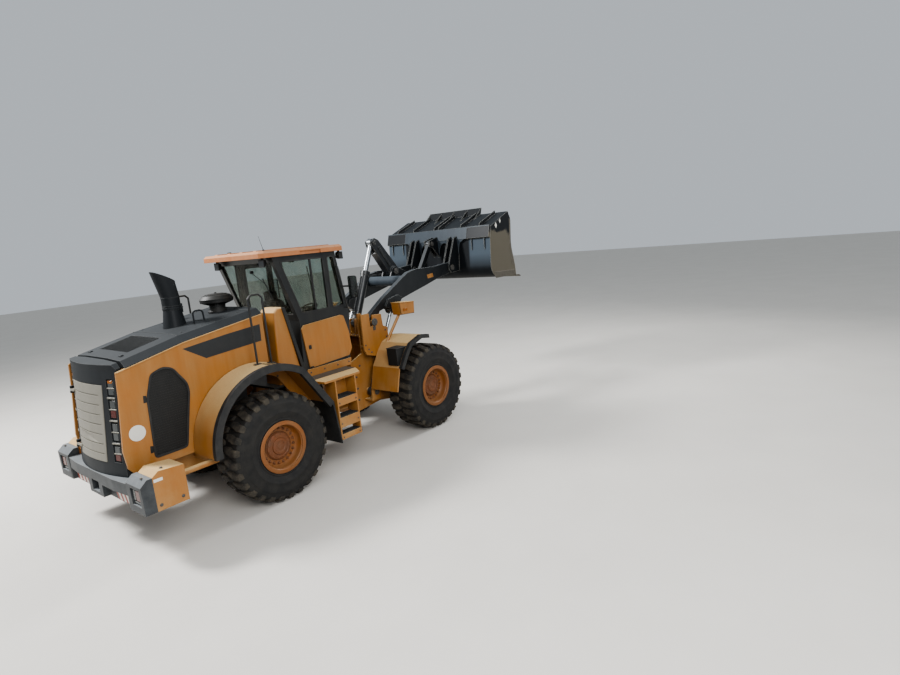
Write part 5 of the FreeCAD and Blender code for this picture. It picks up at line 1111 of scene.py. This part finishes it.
def makeLinkParts():
    caps, link = Shape(), Shape()
    pinCap(caps, armLook["bellTop"], -81, 50, 3)
    pinCap(caps, armLook["bellLow"], -91, 46, 3)
    # a stiffening rib along the crank's upper edge
    caps.sideSlab([(1700, 3240), (1730, 3262), (1990, 2880), (1960, 2858)], -92, -79)
    caps.both().place("crank_pin_caps", "loaderEnamel", "bell_crank", bevel=2.0)
    x, z = armLook["link"]
    link.rod((x, -44, z), (x, -38, z), 50, 32)
    link.both().place("link_collars", "loaderEnamel", "tilt_link", bevel=1.5)


makeArmParts()
makeLinkParts()
print("arm parts made")

# bucket: arches under the beam (from, to, left leg, right leg), wear plates, edge bolts and blank side marks
bucketLook = {"half": 1370.0, "beamX": 3418.0, "beamZ": 3232.0, "arches": ((-424, -80, 1, 1), (-790, -591, 0, 1)),
              "ribs": (-1240, -930), "skinHalf": 832, "edgeBolts": 9, "marks": ((3700, 3440, 62), (3850, 3520, 50))}


def makeBucketParts():
    look, half, x, z = bucketLook, bucketLook["half"], bucketLook["beamX"], bucketLook["beamZ"]
    arches, ribs, wear, bolts, marks, pins, skin, edges = (Shape() for _ in range(8))
    for y0, y1, left, right in look["arches"]:
        outline = [(y0, z + 10), (y1, z + 10)]
        for k in range(13):
            t = math.pi * k / 12
            if (right if k < 6 else left) or k == 6:
                outline.append(((y0 + y1) / 2 + (abs(y1 - y0) / 2 - 16) * math.cos(t), z - 300 + 250 * math.sin(t)))
        arches.prism([(x + 2, y, h) for y, h in outline], [(x + 26, y, h) for y, h in outline])
    arches.both().place("bucket_arches", "dustyBlueEnamel", "bucket", bevel=2.5)
    for y in look["ribs"]:
        ribs.sideSlab([(3440, 3225), (3500, 3225), (3470, 3100), (3440, 3000), (3432, 3060)], y - 9, y + 9)
    ribs.both().place("bucket_back_ribs", "bucketEnamel", "bucket", bevel=2.0)
    # side wear plates: the lower corner's shoe and the upright edge
    for outline in ([(3560, 2420), (4262, 2414), (4250, 2520), (3700, 2540), (3520, 2560)],
                    [(4180, 2640), (4232, 2620), (4196, 3100), (4238, 3520), (4190, 3560), (4140, 3100)]):
        wear.sideSlab(outline, -half - 4, -half + 1)
    wear.both().place("bucket_wear_plates", "scouredSteel", "bucket", bevel=3.0)
    for x in (3640, 3830, 4020, 4200):
        bolts.bolt((x, -half + 4, 2470), (0, -1, 0), 14)
    for k in range(look["edgeBolts"]):
        y = -half + 90 + k * (2 * half - 180) / (look["edgeBolts"] - 1)
        bolts.bolt((4330, y, 2412), (0, 0, 1), 16)
    bolts.place("bucket_bolts", "scouredSteel", "bucket", bevel=1.5)
    for x, z, size in look["marks"]:
        marks.sideSlab([(x - size * 0.6, z), (x, z - size), (x + size * 0.6, z), (x, z + size)], -half - 1.4, -half + 1)
    marks.both().place("bucket_side_marks", "whiteVinyl", "bucket")
    pinCap(pins, armLook["bucketPin"], -600, 54, 3)
    pinCap(pins, armLook["link"], -76, 48, 3)
    pins.both().place("bucket_pin_caps", "castIron", "bucket", bevel=1.5)
    # a thin dusty skin over the beam's face and top, in a paler blue-grey than the black bucket around it
    skin.sideSlab([(3411, 3234), (3415, 3233), (3479, 3459), (3475, 3461)], -look["skinHalf"], look["skinHalf"])
    skin.place("bucket_beam_face", "dustyBlueEnamel", "bucket")
    edges.sideSlab([(3470, 3443), (3474, 3442), (3484, 3462), (3476, 3464)], -half + 10, -look["skinHalf"])
    edges.both().place("bucket_beam_edges", "dustyBlueEnamel", "bucket")


makeBucketParts()
print("bucket parts made")

# cylinders: gland rings with bolts, oil pipes along the barrels. From eye to eye, barrel's length and radius
cylinderLook = {"tilt": ((1020, 0, 1950), (1625, 0, 3330), 960.0, 77.0),
                "lift": ((760, 505, 800), (1446, 505, 2130), 945.0, 52.0),
                "steer": ((-860, 330, 700), (100, 350, 700), 640.0, 52.0)}


def barrelParts(name, key, body, side, pipeSide, finish="loaderEnamel"):
    start, end, length, radius = cylinderLook[key]
    start, end = (Vector((x, y * side, z)) for x, y, z in (start, end))
    along = (end - start).normalized()
    parts = Shape()
    for a, b, r in ((length - 84, length - 70, radius + 4), (length - 22, length - 1, radius + 11)):
        parts.rod(start + along * a, start + along * b, r, 40)
    across = Vector(pipeSide).normalized()
    across = (across - along * across.dot(along)).normalized()
    other = along.cross(across)
    for t in turns(8):
        way = across * math.cos(t) + other * math.sin(t)
        parts.bolt(start + along * (length - 1) + way * (radius + 1), along, 6, washer=False)
    base = radius + 15
    port, far = start + along * 170, start + along * (length - 120)
    parts.tube([port + across * (radius - 4), port + across * (base - 6), port + across * base + along * 20,
                far + across * base - along * 20, far + across * (base - 6), far + across * (radius - 4)], 9, 10)
    for place in (port, far):
        parts.rod(place + across * (radius - 6), place + across * (radius + 12), 16, 6)
    parts.place(name, finish, body, bevel=1.0)


barrelParts("tilt_barrel_fittings", "tilt", "tilt_barrel", 1, (-1, 0, 0.4))
for side, word in ((1, "left"), (-1, "right")):
    barrelParts("steer_barrel_fittings_" + word, "steer", "steer_barrel_" + word, side, (0, 0, 1), "charcoalEnamel")
    barrelParts("lift_barrel_fittings_" + word, "lift", "lift_barrels", side, (-1, 0, 0.4))
print("cylinder parts made")

# the sun stood high over the far rear corner: the key light catches the crowns, a soft fill opens the near side
studioLook = {"sky": "DCE3EA", "skyStrength": 0.62, "aimZ": 1200,
              "lamps": (("keyLight", (-6800, 6500, 10000), 2300, 2.4), ("fillLight", (-5500, -10500, 7000), 980, 6.0),
                        ("rimLight", (9500, -3500, 8500), 600, 4.0))}


def makeStudio():
    look = studioLook
    mesh = bpy.data.meshes.new("studioFloor")
    work = bmesh.new()
    bmesh.ops.create_grid(work, x_segments=1, y_segments=1, size=60)
    work.to_mesh(mesh)
    work.free()
    floor = bpy.data.objects.new("studioFloor", mesh)
    floor.location = (0, 0, -0.001)
    bpy.context.collection.objects.link(floor)
    finish, add, place = newFinish("paleConcrete")
    cloud = add("TexNoise", {"Scale": 0.8, "Detail": 8, "Roughness": 0.6}, {"Vector": (place, "Object")})
    colour = add("Mix", {**rgba, 6: "C9C5BE", 7: "D6D2CB"}, {0: cloud})
    skin = add("BsdfPrincipled", {"Roughness": 0.85}, {"Base Color": (colour, 2)})
    add("OutputMaterial", None, {"Surface": skin})
    mesh.materials.append(finish)
    world = bpy.data.worlds.new("studioSky")
    world.use_nodes = True
    background = world.node_tree.nodes["Background"]
    background.inputs["Color"].default_value = toLinear(look["sky"])
    background.inputs["Strength"].default_value = look["skyStrength"]
    bpy.context.scene.world = world
    for name, place, power, size in look["lamps"]:
        lamp = bpy.data.objects.new(name, bpy.data.lights.new(name, "AREA"))
        lamp.data.energy = power
        lamp.data.size = size
        lamp.location = at(*place)
        lamp.rotation_euler = (at(0, 0, look["aimZ"]) - lamp.location).to_track_quat("-Z", "Y").to_euler()
        bpy.context.collection.objects.link(lamp)
    bpy.context.scene.view_settings.view_transform = "AgX"
    bpy.context.scene.view_settings.look = "AgX - Medium High Contrast"


makeStudio()
print("floor and light made")
